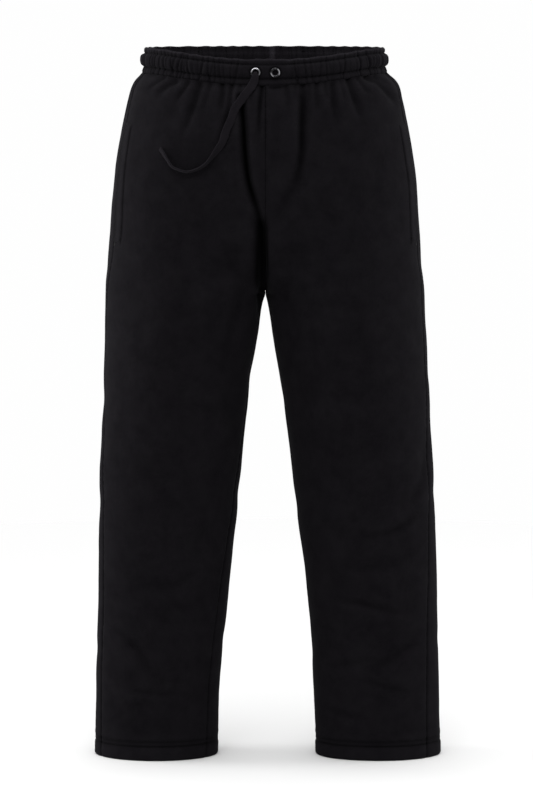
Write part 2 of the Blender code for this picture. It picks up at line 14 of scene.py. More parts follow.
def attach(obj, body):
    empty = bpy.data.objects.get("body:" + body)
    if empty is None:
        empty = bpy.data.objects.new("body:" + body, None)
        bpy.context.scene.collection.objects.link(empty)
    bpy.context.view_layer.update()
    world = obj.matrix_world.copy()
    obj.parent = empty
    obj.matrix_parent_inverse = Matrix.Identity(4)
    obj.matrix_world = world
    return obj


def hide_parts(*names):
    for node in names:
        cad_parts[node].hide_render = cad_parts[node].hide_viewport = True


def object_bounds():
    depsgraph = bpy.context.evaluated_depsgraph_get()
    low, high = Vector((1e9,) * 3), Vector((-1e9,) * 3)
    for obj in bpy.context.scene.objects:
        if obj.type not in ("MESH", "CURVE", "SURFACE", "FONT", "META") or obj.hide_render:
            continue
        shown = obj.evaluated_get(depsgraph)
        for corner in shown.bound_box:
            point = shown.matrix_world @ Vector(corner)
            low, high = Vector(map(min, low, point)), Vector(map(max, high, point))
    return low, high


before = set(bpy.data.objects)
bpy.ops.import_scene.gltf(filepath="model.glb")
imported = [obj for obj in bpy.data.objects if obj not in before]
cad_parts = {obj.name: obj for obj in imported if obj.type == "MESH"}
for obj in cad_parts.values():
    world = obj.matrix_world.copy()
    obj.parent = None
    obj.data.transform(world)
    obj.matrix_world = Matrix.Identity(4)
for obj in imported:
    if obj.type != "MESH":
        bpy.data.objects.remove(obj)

CAD_BOX = [list(corner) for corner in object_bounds()]
SIDES = ("left", "right")

# ---- camera ---------------------------------------------------------------------------------------
CAMERA_PLACE = (0.0015, -5.0, 0.11)
CAMERA_TILT = 7.0925            # degrees down
CAMERA_LENS, SENSOR = 155.3, 36.0

# ---- the garment's form, as in the part -----------------------------------------------------------
WALL, SEAM_GAP, HEM_FOLD = 0.0022, 0.0003, 0.0018
HEM_LEVEL, FOOT_LEVEL, BAND_HEIGHT = 1.0165, 1.0380, 0.0360
SECTION_COLUMNS = ("z", "out_left", "out_right", "in_left", "in_right", "front", "back", "side")
SECTION_ROWS = (
    (0.000, 0.1716, 0.1742, 0.0000, 0.0000, -0.105, 0.105, 0.000),
    (-0.020, 0.1728, 0.1755, 0.0000, 0.0000, -0.107, 0.107, 0.000),
    (-0.036, 0.1757, 0.1780, 0.0000, 0.0000, -0.110, 0.110, 0.000),
    (-0.050, 0.1885, 0.1885, 0.0000, 0.0000, -0.117, 0.119, 0.001),
    (-0.075, 0.1970, 0.1983, 0.0000, 0.0000, -0.124, 0.129, 0.002),
    (-0.105, 0.2040, 0.2060, 0.0000, 0.0000, -0.129, 0.137, 0.004),
    (-0.150, 0.2122, 0.2143, 0.0000, 0.0000, -0.132, 0.147, 0.005),
    (-0.210, 0.2200, 0.2211, 0.0000, 0.0000, -0.133, 0.151, 0.005),
    (-0.280, 0.2252, 0.2261, 0.0000, 0.0000, -0.130, 0.142, 0.003),
    (-0.352, 0.2314, 0.2316, 0.0003, 0.0003, -0.122, 0.120, 0.000),
    (-0.366, 0.2322, 0.2320, 0.0038, 0.0048, -0.120, 0.117, 0.000),
    (-0.412, 0.2348, 0.2332, 0.0105, 0.0114, -0.113, 0.106, -0.001),
    (-0.480, 0.2382, 0.2355, 0.0208, 0.0218, -0.105, 0.093, -0.003),
    (-0.560, 0.2418, 0.2390, 0.0318, 0.0311, -0.095, 0.079, -0.005),
    (-0.690, 0.2489, 0.2434, 0.0480, 0.0432, -0.078, 0.061, -0.007),
    (-0.840, 0.2535, 0.2469, 0.0658, 0.0585, -0.066, 0.062, -0.002),
    (-0.954, 0.2566, 0.2506, 0.0722, 0.0688, -0.058, 0.061, 0.002),
    (-1.038, 0.2583, 0.2520, 0.0738, 0.0720, -0.053, 0.060, 0.004),
)
SQUARE = 0.035
CROTCH_TOP, CROTCH_LEVEL, CROTCH_Y, CROTCH_BOX = 0.240, 0.352, -0.020, 0.80
SPLIT_TOP, SPLIT_FOOT = 0.170, 0.420
SEAM_PULL, DROOP_SPREAD = 0.5, 0.9
INSEAM_EASE = 0.080
RIM_DIP, RIM_DIP_TURNS, RIM_EVEN = 0.0148, 1.4, 0.120
SEAM_COLUMNS = ("level", "side_left", "side_right", "in_left", "in_right")
SEAM_ROWS = (
    (0.036, 30.0, 30.0, 0.0, 0.0),
    (0.240, 28.0, 32.0, 0.0, 0.0),
    (0.352, 19.0, 16.0, 0.0, 0.0),
    (0.450, 18.0, 11.0, -1.0, 6.0),
    (0.560, 20.0, 17.0, -2.0, 12.0),
    (0.690, 27.0, 22.0, -4.0, 24.0),
    (0.840, 35.0, 25.5, -5.0, 32.0),
    (1.038, 40.0, 27.0, -6.0, 35.0),
)
MOUTH_TOP, MOUTH_FOOT = 0.105, 0.282
PLAIN_HALF, PLAIN_EASE, PLAIN_OUT = 0.019, 0.022, 0.45
BAND_OUTSIDE = ((0.0000, 0.0000), (0.0075, 0.0002), (0.0105, 0.0032), (0.0170, 0.0046),
                (0.0235, 0.0030), (0.0270, 0.0006), (BAND_HEIGHT, 0.0010))
EYELET_X, EYELET_DOWN = 0.0138, 0.0185
FLANGE_RADIUS, BARREL_RADIUS, HOLE_RADIUS = 0.0072, 0.0042, 0.0036
EYELET_SEAT, BARREL_DEPTH = 0.0006, 0.0028
BAG_WALL, BAG_TOP, BAG_FOOT = 0.0016, 0.102, 0.338

# ---- drawcord: its middle line, width, thickness and how far it is turned on edge -------------------
CORD_COLUMNS = ("x", "y", "z", "width", "thick", "turn")
CORD_ROWS = (
    (-0.0141, -0.1070, -0.0326, 0.0050, 0.0026, 0.0),
    (-0.0141, -0.1100, -0.0329, 0.0052, 0.0026, 0.0),
    (-0.0142, -0.1122, -0.0345, 0.0066, 0.0026, 0.0),
    (-0.0144, -0.1133, -0.0375, 0.0092, 0.0028, 0.0),
    (-0.0151, -0.1137, -0.0415, 0.0114, 0.0028, 0.0),
    (-0.0181, -0.1152, -0.0494, 0.0120, 0.0028, -2.0),
    (-0.0220, -0.1184, -0.0550, 0.0120, 0.0028, -4.0),
    (-0.0277, -0.1211, -0.0620, 0.0120, 0.0028, -6.0),
    (-0.0351, -0.1234, -0.0723, 0.0120, 0.0028, -8.0),
    (-0.0423, -0.1258, -0.0820, 0.0120, 0.0028, -12.0),
    (-0.0485, -0.1292, -0.0988, 0.0120, 0.0028, -16.0),
    (-0.0547, -0.1320, -0.1121, 0.0120, 0.0028, -20.0),
    (-0.0615, -0.1340, -0.1312, 0.0118, 0.0030, -30.0),
    (-0.0694, -0.1347, -0.1425, 0.0116, 0.0030, -48.0),
    (-0.0745, -0.1342, -0.1493, 0.0114, 0.0032, -60.0),
    (-0.0830, -0.1332, -0.1595, 0.0112, 0.0032, -74.0),
    (-0.0966, -0.1310, -0.1680, 0.0112, 0.0032, -80.0),
    (-0.1113, -0.1281, -0.1716, 0.0112, 0.0032, -82.0),
    (-0.1227, -0.1250, -0.1690, 0.0110, 0.0032, -82.0),
    (-0.1329, -0.1214, -0.1641, 0.0108, 0.0032, -80.0),
    (-0.1386, -0.1183, -0.1557, 0.0106, 0.0032, -74.0),
    (-0.1443, -0.1138, -0.1469, 0.0104, 0.0032, -66.0),
    (-0.1489, -0.1100, -0.1402, 0.0100, 0.0032, -60.0),
)
CORD_RINGS, CORD_SIDES = 180, 20
CORD_WIDTH = 0.012

# ---- creases --------------------------------------------------------------------------------------
# by the way the cloth faces: a crease's half width and depth, how strong it is at its first and last
# point, how high the cloth rises on either side of it, and its points, x and z on the front and
# back, y and z on the sides; lengths in mm
CREASES = {"front": (
    # the two folds that run down to the crotch
    (4.4, 9.6, 0.9, 0, 0.15, 0.2, -34, -68, -31, -110, -29, -144, -24, -186, -11.5, -229, -4, -262),
    (12, 3, 0.2, 0.6, 0, 0.1, -37, -86, -34, -150, -10, -240),
    (5, 5.6, 0.6, 0, 0.15, 0.15, 53, -51, 51.5, -105, 50, -160, 41, -196),
    (9, 3, 0.6, 0, 0, 0.25, 58, -58, 57, -105, 54, -165),
    (8, 2.8, 0, 0.5, 0.1, 0.25, 50, -150, 43, -186, 30, -214, 6.5, -252),
    (7.5, 13, 0.1, 0.6, 0, 0, -9, -236, -5.5, -272, -3, -385),
    # a short fold down from the band close to the middle seam, and soft ones on either side
    (3, 3.6, 1, 0, 0.2, 0.2, -4.5, -46, -7.5, -78, -10.5, -130),
    (8, 1.4, 0.4, 0, 0.2, 0.2, 14, -70, 17, -125, 12, -200),
    (8, 1.4, 0.4, 0, 0.2, 0.2, -16, -76, -14, -130, -8, -190),
    # the longest gathers under the band
    (4.6, 3, 1, 0, 0.35, 0.2, -127, -47, -140, -54, -156, -68),
    (4.8, 3.8, 1, 0, 0.2, 0.35, -93.5, -51, -102, -78, -119, -126),
    (4, 3.2, 1, 0, 0.2, 0.2, -61, -47, -61, -68, -65, -100),
    (3.4, 2.8, 1, 0, 0.2, 0.2, -47, -50, -49, -64, -51, -90),
    (5.2, 4.6, 0.2, 0, 0.2, 0.15, -50, -82, -54, -108, -64, -148),
    (4, 2.8, 1, 0, 0.2, 0.2, 72.6, -47, 72.2, -60, 74.5, -88),
    (4.6, 3.6, 1, 0, 0.2, 0.3, 95, -51, 96, -70, 101, -110),
    (4.8, 3.8, 1, 0, 0.15, 0.35, 117, -44, 124, -66, 139, -108),
    (5, 3.4, 1, 0, 0.15, 0.35, 142, -41, 160, -49, 179, -70, 190, -82),
    (2, 1.8, 0.6, 0, 0.2, 0, 6, -54.5, 18, -54, 30, -52),
    # short gathers between them
    (3.4, 1.7, 1, 0, 0.2, 0.2, -78, -50, -83, -66, -90, -92),
    (3.2, 2.2, 1, 0, 0.2, 0.2, -109, -48, -117, -60, -130, -78),
    (3, 1.8, 1, 0, 0.2, 0.2, -143, -42, -156, -50, -168, -60),
    (3, 1.6, 1, 0, 0.2, 0.2, -36, -52, -37.5, -62, -38, -78),
    (3.2, 0.9, 1, 0, 0.2, 0.2, -20, -52, -21, -62, -21, -80),
    (3.4, 1.8, 1, 0, 0.2, 0.2, 30, -52, 31, -64, 34, -94),
    (3, 0.9, 1, 0, 0.2, 0.2, 42, -51, 42.5, -60, 43, -70),
    (3.2, 1.5, 1, 0, 0.2, 0.2, 62, -50, 62.5, -62, 64, -76),
    (3.4, 2.2, 1, 0, 0.2, 0.2, 84, -48, 85.5, -62, 88, -72),
    (3, 1.6, 1, 0, 0.2, 0.2, 106, -46, 109.5, -60, 116, -80),
    (3.4, 2.2, 1, 0, 0.2, 0.2, 130, -43, 138, -54, 148, -66),
    (3, 1.5, 1, 0, 0.2, 0.2, 156, -40, 168, -46, 178, -54),
    # soft drags out from the crotch
    (12, 1.8, 0.3, 0, 0.3, 0.3, -24, -268, -70, -318, -130, -345),
    (12, 1.6, 0.3, 0, 0.3, 0.3, 20, -262, 70, -315, 135, -340),
    (8, 2, 0.4, 0, 0.3, 0.1, -22, -320, -40, -372, -56, -450),
    (8, 1.6, 0.2, 0, 0.2, 0.2, -48, -500, -46, -556, -43, -610),
    (8, 1.6, 0.4, 0, 0.1, 0.3, 20, -335, 40, -385, 54, -455),
    (14, 1.6, 0, 0, 0.3, 0.3, -190, -420, -140, -450, -80, -455),
    (14, 1.6, 0, 0, 0.3, 0.3, 200, -455, 150, -490, 90, -500),
    (12, 1.6, 0, 0, 0.3, 0.3, -200, -580, -150, -615, -85, -610),
    # below the knees
    (8.5, 2.8, 0, 0, 0.5, 0.1, 236, -540, 228, -620, 194, -676),
    (5.5, 2.2, 0.2, 0, 0.2, 0.4, 226, -668, 182, -695, 122, -706),
    (9, 1.8, 0, 0, 0.3, 0.3, 218, -724, 170, -750, 104, -748),
    (4.6, 1.9, 0, 0, 0.2, 0.4, 98, -796, 150, -804.5, 208, -822),
    (6.5, 2, 0, 0, 0.4, 0.2, 228, -846, 190, -882, 144, -904),
    (5.5, 1.5, 0, 0, 0.2, 0.4, 84, -902, 122, -893, 174, -882),
    (5, 1.6, 0, 0, 0.3, 0.2, 138, -916, 180, -929, 226, -940),
    (5, 1.2, 0, 0, 0.2, 0.3, 84, -958, 114, -970, 158, -978),
    (6.5, 2.3, 0.1, 0, 0.2, 0.4, -236, -832, -185.5, -872, -142, -952),
    (4.6, 1.3, 0, 0, 0.2, 0.4, -206, -928, -166, -937, -124, -939),
    (9, 1.7, 0, 0, 0.2, 0.3, -90, -752, -140, -778, -200, -772),
    (7, 1.4, 0, 0, 0.2, 0.2, -80, -680, -97, -720, -100, -768),
), "back": (
    # gathers, the seat, the backs of the knees and the calves
    (4.5, 2.4, 1, 0, 0.4, 0.2, 136, -44, 150, -60, 164, -88),
    (3.4, 1.8, 1, 0, 0.3, 0.3, 118, -40, 127, -60, 134, -78),
    (4.5, 2.6, 1, 0, 0.3, 0.4, 99, -38, 106, -70, 114, -108),
    (3, 1.5, 1, 0, 0.3, 0.2, 83, -38, 86, -54, 89, -68),
    (4, 2.2, 1, 0, 0.3, 0.4, 66, -37, 69, -62, 73, -94),
    (3, 1.4, 1, 0, 0.3, 0.2, 50, -37, 51, -52, 53, -64),
    (4.2, 2.4, 1, 0, 0.4, 0.3, 32, -37, 34, -66, 37, -106),
    (3, 1.4, 1, 0, 0.3, 0.3, 15, -37, 16, -54, 16, -70),
    (3, 1.5, 1, 0, 0.3, 0.3, -13, -37, -14, -56, -14, -76),
    (4.2, 2.2, 1, 0, 0.3, 0.3, -29, -37, -32, -62, -34, -92),
    (3, 1.4, 1, 0, 0.2, 0.3, -45, -37, -47, -52, -49, -66),
    (4.4, 2.6, 1, 0, 0.4, 0.3, -63, -37, -67, -70, -71, -112),
    (3.2, 1.6, 1, 0, 0.3, 0.2, -80, -38, -84, -56, -87, -72),
    (4.4, 2.4, 1, 0, 0.3, 0.4, -96, -38, -103, -66, -112, -100),
    (3.2, 1.8, 1, 0, 0.3, 0.2, -114, -40, -123, -58, -130, -78),
    (4.4, 2.4, 1, 0, 0.2, 0.4, -131, -43, -144, -62, -158, -92),
    (13, 4.6, 0.3, 0, 0.3, 0.2, 20, -300, 80, -330, 165, -322),
    (13, 4.6, 0.3, 0, 0.3, 0.2, -22, -305, -80, -335, -160, -325),
    (9, 3, 0.5, 0, 0.2, 0.3, 16, -332, 60, -372, 120, -392),
    (9, 3, 0.5, 0, 0.2, 0.3, -16, -336, -56, -378, -125, -400),
    (9, 2, 0.3, 0, 0.2, 0.3, 30, -400, 52, -450, 90, -490),
    (9, 1.8, 0.3, 0, 0.3, 0.2, -30, -405, -50, -460, -78, -510),
    (10, 2, 0, 0, 0.2, 0.2, 60, -190, 105, -215, 150, -205),
    (10, 2, 0, 0, 0.2, 0.2, -55, -200, -100, -222, -150, -208),
    (12, 3.6, 0.2, 0.3, 0.3, 0.3, 75, -652, 140, -672, 225, -652),
    (12, 3.6, 0.2, 0.3, 0.3, 0.3, -72, -658, -140, -676, -220, -662),
    (8, 2.4, 0, 0.2, 0.3, 0.3, 120, -618, 165, -626, 215, -612),
    (8, 2.2, 0, 0.2, 0.2, 0.3, -110, -625, -160, -634, -205, -618),
    (9, 2.4, 0.1, 0, 0.3, 0.2, 90, -716, 140, -728, 190, -720),
    (9, 2.2, 0.1, 0, 0.3, 0.2, -90, -722, -135, -736, -180, -726),
    (11, 2.8, 0.1, 0.1, 0.3, 0.3, 95, -856, 150, -880, 220, -868),
    (11, 2.8, 0.1, 0.1, 0.3, 0.3, -90, -900, -150, -915, -215, -898),
    (7, 1.8, 0, 0, 0.2, 0.3, 130, -930, 170, -942, 205, -936),
    (7, 1.8, 0, 0, 0.3, 0.2, -120, -820, -155, -834, -195, -824),
    (6, 1.4, 0, 0, 0.2, 0.3, 100, -968, 130, -975, 160, -976),
), "left": (
    # gathers beside the seam, drags at the pocket foot, the knee, the calf and the thigh
    (4.2, 2, 1, 0, 0.3, 0.3, -20, -38, -22, -60, -26, -92),
    (3.2, 1.5, 1, 0, 0.3, 0.3, 2, -36, 3, -54, 3, -74),
    (4.2, 2.2, 1, 0, 0.3, 0.3, 22, -36, 27, -66, 32, -104),
    (3.4, 1.6, 1, 0, 0.3, 0.3, 43, -36, 49, -56, 54, -78),
    (15, 0.9, 0.2, 0, 0.2, 0.3, -50, -290, -10, -316, 35, -330),
    (16, 1.2, 0, 0.2, 0.3, 0.2, -50, -622, -10, -646, 35, -650),
    (14, 1, 0, 0, 0.2, 0.3, -30, -846, 2, -866, 36, -870),
    (16, 0.8, 0, 0, 0.2, 0.2, -30, -452, 5, -480, 36, -488),
), "right": (
    # the same on the other side
    (4.2, 2.2, 1, 0, 0.3, 0.3, -18, -38, -20, -64, -24, -100),
    (3.2, 1.5, 1, 0, 0.3, 0.3, 5, -36, 6, -52, 6, -70),
    (4.2, 2, 1, 0, 0.3, 0.3, 26, -36, 31, -64, 36, -96),
    (3.4, 1.6, 1, 0, 0.3, 0.3, 46, -36, 53, -58, 58, -82),
    (15, 0.9, 0.2, 0, 0.2, 0.3, -52, -292, -14, -312, 30, -332),
    (16, 1.1, 0, 0.2, 0.3, 0.2, -45, -645, -8, -664, 30, -664),
    (14, 1, 0, 0, 0.2, 0.3, -30, -862, 0, -884, 34, -892),
    (16, 0.8, 0, 0, 0.2, 0.2, -34, -492, 0, -516, 34, -524),
)}
CREASE_POINTS = 22
TROUGH_SHADE = 0.5               # how much darker a trough is painted, as painted shade, when it is as deep as it is wide
TONE_LIMITS = (-0.95, 0.45)
FACING = {"front": (1, -1), "back": (1, 1), "left": (0, 1), "right": (0, -1)}


def columns(names, rows):
    """A table's columns by name, as arrays."""
    return dict(zip(names, np.array(rows, dtype=float).T))


SECTION = columns(SECTION_COLUMNS, SECTION_ROWS)
SEAM = columns(SEAM_COLUMNS, SEAM_ROWS)


# ---- the garment's smooth surface, as in the part -------------------------------------------------
def smooth_through(at, knots, values):
    order = np.argsort(knots)
    knots, values = knots[order], values[order]
    slope = np.gradient(values, knots)
    at = np.clip(at, knots[0], knots[-1])
    i = np.clip(np.searchsorted(knots, at) - 1, 0, len(knots) - 2)
    step = knots[i + 1] - knots[i]
    t = (at - knots[i]) / step
    ease = t * t * (3 - 2 * t)
    bend = t * (1 - t) * step * ((1 - t) * slope[i] - t * slope[i + 1])
    return values[i] + (values[i + 1] - values[i]) * ease + bend


def smooth_step(t):
    t = np.clip(t, 0.0, 1.0)
    return t * t * (3 - 2 * t)


def bell(t):
    return np.exp(-t * t)


def seam_angle(seam, side, level):
    degrees = smooth_through(np.asarray(level, float), SEAM["level"], SEAM[f"{seam}_{side}"])
    forward = np.radians(degrees)
    return math.pi - forward if seam == "side" else forward


def rim_drop(phi):
    turn = np.abs(np.angle(np.exp(0.5j * phi)))
    return RIM_DIP * np.cos(np.minimum(RIM_DIP_TURNS * turn, math.pi / 2)) ** 2


def crotch_seam(level):
    angle = np.clip((level - CROTCH_TOP) / (CROTCH_LEVEL - CROTCH_TOP), 0.0, 1.0) * math.pi / 2
    return 1 - np.maximum(np.cos(angle), 0.0) ** CROTCH_BOX, np.sin(angle) ** CROTCH_BOX


def surface(side, phi, level):
    out, inner, front, back, line = (smooth_through(-level, SECTION["z"], SECTION[name]) for name in
                                     (f"out_{side}", f"in_{side}", "front", "back", "side"))
    even, uneven = (back - front) / 2, (2 * line - front - back) / 2
    turn = phi / 2
    body_x = out * (np.sin(turn) + SQUARE * np.sin(3 * turn)) / (1 - SQUARE)
    body_reach = (np.cos(turn) - SQUARE * np.cos(3 * turn)) / (1 - SQUARE)
    body_y = line - even * body_reach - uneven * body_reach ** 2

    from_inner_edge = 2 * np.sin(turn)
    drooping = bell(from_inner_edge / DROOP_SPREAD)
    below = np.maximum(level - CROTCH_LEVEL, 0.0)
    inseam_shift = (CROTCH_Y - line) * bell(below / INSEAM_EASE)
    leg_x = (out + inner) / 2 - (out - inner) / 2 * np.cos(phi)
    leg_y = line - even * np.sin(phi) - uneven * np.sin(phi) ** 2 + inseam_shift * drooping

    seam_back, seam_down = crotch_seam(level)
    pulled = bell(from_inner_edge / SEAM_PULL)
    split = smooth_step((level - SPLIT_TOP) / (SPLIT_FOOT - SPLIT_TOP))
    legs = pulled * seam_back + (1 - pulled) * split
    x = (1 - legs) * body_x + legs * leg_x
    y = (1 - legs) * body_y + legs * leg_y

    seam_level = CROTCH_TOP + (CROTCH_LEVEL - CROTCH_TOP) * seam_down
    in_crotch = (level > CROTCH_TOP) & (level < CROTCH_LEVEL)
    droop = np.where(in_crotch, seam_level - level, 0.0) * drooping
    dip = rim_drop(phi) * (1 - smooth_step((level - BAND_HEIGHT) / RIM_EVEN))
    return np.stack([x if side == "left" else -x, y, -level - droop - dip], axis=-1)


def outward(side, phi, level, turn=0.01, drop=0.001):
    round_it = surface(side, phi + turn, level) - surface(side, phi - turn, level)
    down_it = surface(side, phi, level + drop) - surface(side, phi, level - drop)
    normal = np.cross(down_it, round_it) if side == "left" else np.cross(round_it, down_it)
    return normal / np.linalg.norm(normal, axis=-1, keepdims=True)


def stretch_round(side, phi, level, turn=0.01):
    """Metres of cloth for each radian of phi."""
    step = surface(side, phi + turn, level) - surface(side, phi - turn, level)
    return np.linalg.norm(step, axis=-1) / (2 * turn)


# ---- meshes ---------------------------------------------------------------------------------------
def facing_out(points, faces):
    """The faces of a closed mesh, turned round together where they face in."""
    centred = points - points.mean(axis=0)
    volume = 0.0
    for face in faces:
        for i in range(1, face.shape[1] - 1):
            first, second, third = (centred[face[:, at]] for at in (0, i, i + 1))
            volume += np.einsum("ij,ij->", first, np.cross(second, third)) / 6
    return [np.roll(face[:, ::-1], 1, axis=1) for face in faces] if volume < -1e-11 else faces


def add_mesh(name, points, faces, material, uv=None, tone=None):
    """A smooth mesh from arrays: faces is a list of arrays of three or four columns."""
    faces = facing_out(np.asarray(points, dtype=float),
                       [np.asarray(face, dtype=np.int32) for face in faces if len(face)])
    loops = np.concatenate([face.ravel() for face in faces])
    sizes = np.concatenate([np.full(len(face), face.shape[1]) for face in faces])
    mesh = bpy.data.meshes.new(name)
    mesh.vertices.add(len(points))
    mesh.vertices.foreach_set("co", np.asarray(points, dtype=np.float32).ravel())
    mesh.loops.add(len(loops))
    mesh.loops.foreach_set("vertex_index", loops)
    mesh.polygons.add(len(sizes))
    mesh.polygons.foreach_set("loop_start", np.concatenate([[0], np.cumsum(sizes)[:-1]]).astype(np.int32))
    if uv is not None:
        layer = mesh.uv_layers.new(name="cloth")
        layer.data.foreach_set("uv", np.asarray(uv, dtype=np.float32)[loops].ravel())
    if tone is not None:
        mesh.attributes.new("tone", "FLOAT", "POINT").data.foreach_set("value", tone.astype(np.float32))
    mesh.update(calc_edges=True)
    mesh.validate()
    mesh.shade_smooth()
    mesh.materials.append(material)
    piece = bpy.data.objects.new(name, mesh)
    bpy.context.scene.collection.objects.link(piece)
    return piece


def joined(rows, axis=0):
    """The rows with the first one once more at the end, to close a ring."""
    return np.concatenate([rows, rows.take([0], axis=axis)], axis=axis)


def run_along(points):
    """The way along a line of points, from its first point to each."""
    return np.concatenate([[0.0], np.cumsum(np.linalg.norm(np.diff(points, axis=0), axis=1))])


def grid_faces(numbers, flip=False):
    """Quads between the rows and columns of a two-way table of point numbers."""
    a, b, c, d = numbers[:-1, :-1], numbers[1:, :-1], numbers[1:, 1:], numbers[:-1, 1:]
    quads = np.stack([a, b, c, d] if not flip else [d, c, b, a], axis=-1)
    return quads.reshape(-1, 4)


def fan_wall(fine, coarse, share, flip):
    """Triangles between a border's fine points and every share-th of them on the other face."""
    faces = []
    for i in range(len(coarse) - 1):
        run = fine[i * share:(i + 1) * share + 1]
        half = share // 2
        for j in range(share):
            faces.append((run[j], run[j + 1], coarse[i] if j <= half else coarse[i + 1]))
        faces.append((run[half + 1] if half + 1 < len(run) else run[-1], coarse[i + 1], coarse[i]))
    faces = np.array(faces)
    return faces[:, ::-1] if flip else faces


def spread(knots, steps, count):
    """count + 1 values from the first knot to the last, spaced in proportion to the steps there."""
    fine = np.linspace(knots[0], knots[-1], 4001)
    density = 1 / np.interp(fine, knots, steps)
    total = np.concatenate([[0.0], np.cumsum((density[1:] + density[:-1]) / 2 * np.diff(fine))])
    return np.interp(np.linspace(0.0, total[-1], count + 1), total, fine)


# ---- the cloth's relief ---------------------------------------------------------------------------
def crease_relief(points, normals):
    """Troughs along the crease table's curves, with the cloth raised unevenly beside them, and the painted
    shade and light there: below 0 painted shade down in a trough, above 0 painted light on a raised ridge."""
    flat_points, flat_normals = points.reshape(-1, 3), normals.reshape(-1, 3)
    height, tone = np.zeros(len(flat_points)), np.zeros(len(flat_points))
    creases = [(*FACING[facing], *row) for facing, rows in CREASES.items() for row in rows]
    for axis, sign, half, depth, start, end, rise_a, rise_b, *knots in creases:
        half, depth, knots = half / 1000, depth / 1000, np.array(knots).reshape(-1, 2) / 1000
        across = 0 if axis == 1 else 1
        at = np.linspace(0.0, 1.0, CREASE_POINTS)
        places = np.linspace(0.0, 1.0, len(knots))
        curve = np.stack([smooth_through(at, places, knots[:, i]) for i in (0, 1)], axis=-1)
        step = np.diff(curve, axis=0)
        reach = 5 * half
        low, high = curve.min(axis=0) - reach, curve.max(axis=0) + reach
        near = ((flat_points[:, across] > low[0]) & (flat_points[:, across] < high[0])
                & (flat_points[:, 2] > low[1]) & (flat_points[:, 2] < high[1])
                & (sign * flat_normals[:, axis] > 0.02))
        where = np.flatnonzero(near)
        if not len(where):
            continue
        spot = flat_points[where][:, (across, 2)]
        offset = spot[:, None] - curve[:-1]
        part = np.clip((offset * step).sum(axis=2) / (step ** 2).sum(axis=1), 0.0, 1.0)
        offset = offset - part[..., None] * step
        far = np.linalg.norm(offset, axis=2)
        nearest = far.argmin(axis=1)
        rows = np.arange(len(where))
        off, heading = offset[rows, nearest], step[nearest]
        signed = far[rows, nearest] / half
        signed *= np.sign(heading[:, 0] * off[:, 1] - heading[:, 1] * off[:, 0])
        t = (nearest + part[rows, nearest]) / len(step)
        along = smooth_through(t, np.array([0.0, 0.3, 0.6, 1.0]), np.array([start, 1.0, 0.9, end]))
        profile = rise_a * bell((signed - 2.1) / 1.4) + rise_b * bell((signed + 2.1) / 1.4) - bell(signed)
        facing = sign * flat_normals[where, axis]
        height[where] += depth * along * profile * smooth_step(2.5 * facing)
        # painted shade down each trough, painted light on the cloth raised beside it
        tone[where] += TROUGH_SHADE * depth / half * along * profile * smooth_step(8 * facing)
    return height.reshape(points.shape[:-1]), tone.reshape(points.shape[:-1])


def waves(count, shortest, longest, seed):
    """Directions, wavelengths and phases of a sum of sine waves in space."""
    chance = np.random.default_rng(seed)
    heading = chance.normal(size=(count, 3))
    heading /= np.linalg.norm(heading, axis=1, keepdims=True)
    length = np.exp(chance.uniform(math.log(shortest), math.log(longest), count))
    return heading * (2 * math.pi / length)[:, None], chance.uniform(0, 2 * math.pi, count), length / longest


def wave_relief(points, table):
    heading, phase, share = table
    return (np.sin(points @ heading.T + phase) * share).sum(axis=-1) / math.sqrt(len(phase))


SLOW_WAVES = waves(14, 0.060, 0.200, 3)
QUICK_WAVES = waves(16, 0.014, 0.040, 5)
SLOW_DEPTH, QUICK_DEPTH = 0.0012, 0.00016

SEAM_ROLL, SEAM_ROLL_WIDTH = 0.0011, 0.0024     # the cloth turns in beside a seam
SEAM_SHADE = 0.35                                # and it is painted darker there, as painted shade
# where the thighs lie together, a painted shadow: how far from the inner seam the cloth is painted dark,
# over what width that fades, and between which levels
THIGH_SHADOW = {"left": (0.0052, 0.0028), "right": (0.0220, 0.0130)}
THIGH_SHADOW_TOP, THIGH_SHADOW_FOOT, THIGH_SHADOW_TONE = 0.215, 0.440, 0.92
MOUTH_LIFT, MOUTH_SINK = 0.0016, 0.0012         # pocket edge and the cloth behind it
MOUTH_STITCH = 0.0250                           # the topstitching's distance from the mouth
MOUTH_FADE, MOUTH_REACH = 0.010, 0.031          # how the mouth's ends fade, and how far its lift goes
MOUTH_SHADE, MOUTH_ROW_SHADE, MOUTH_RIDGE_LIGHT = 0.8, 0.70, 0.25     # painted shade at the mouth's edge and in the topstitching's groove, painted light on the ridges
HEM_ROWS = (1.0105, 1.0168)                     # twin-needle rows
# stitch grooves: their depth and width, and the painted shade in them
GROOVE, GROOVE_WIDTH, GROOVE_SHADE = 0.0006, 0.0012, 0.68
# under the band the cloth swells out, and a groove runs along the seam, painted dark as painted shade
SWELL, SWELL_RISE, SWELL_FADE = 0.0010, 0.012, 0.040
BAND_GROOVE, BAND_GROOVE_SHADE = 0.0004, 0.32
# the hem's fold: thicker below its rows and painted lighter there as painted light, raised above them,
# rounded in at the foot
FOLD_OUT, FOLD_LIGHT, FOLD_EASE, FOLD_RIDGE, FOOT_IN = 0.0007, 0.18, 0.004, 0.0005, 0.0016


def panel_angles(side, face, level):
    """phi of the panel's seam at the garment's middle or inseam, and of its side seam."""
    inseam, side_seam = seam_angle("in", side, level), seam_angle("side", side, level)
    return (inseam, side_seam) if face == "front" else (inseam + 2 * math.pi, side_seam)


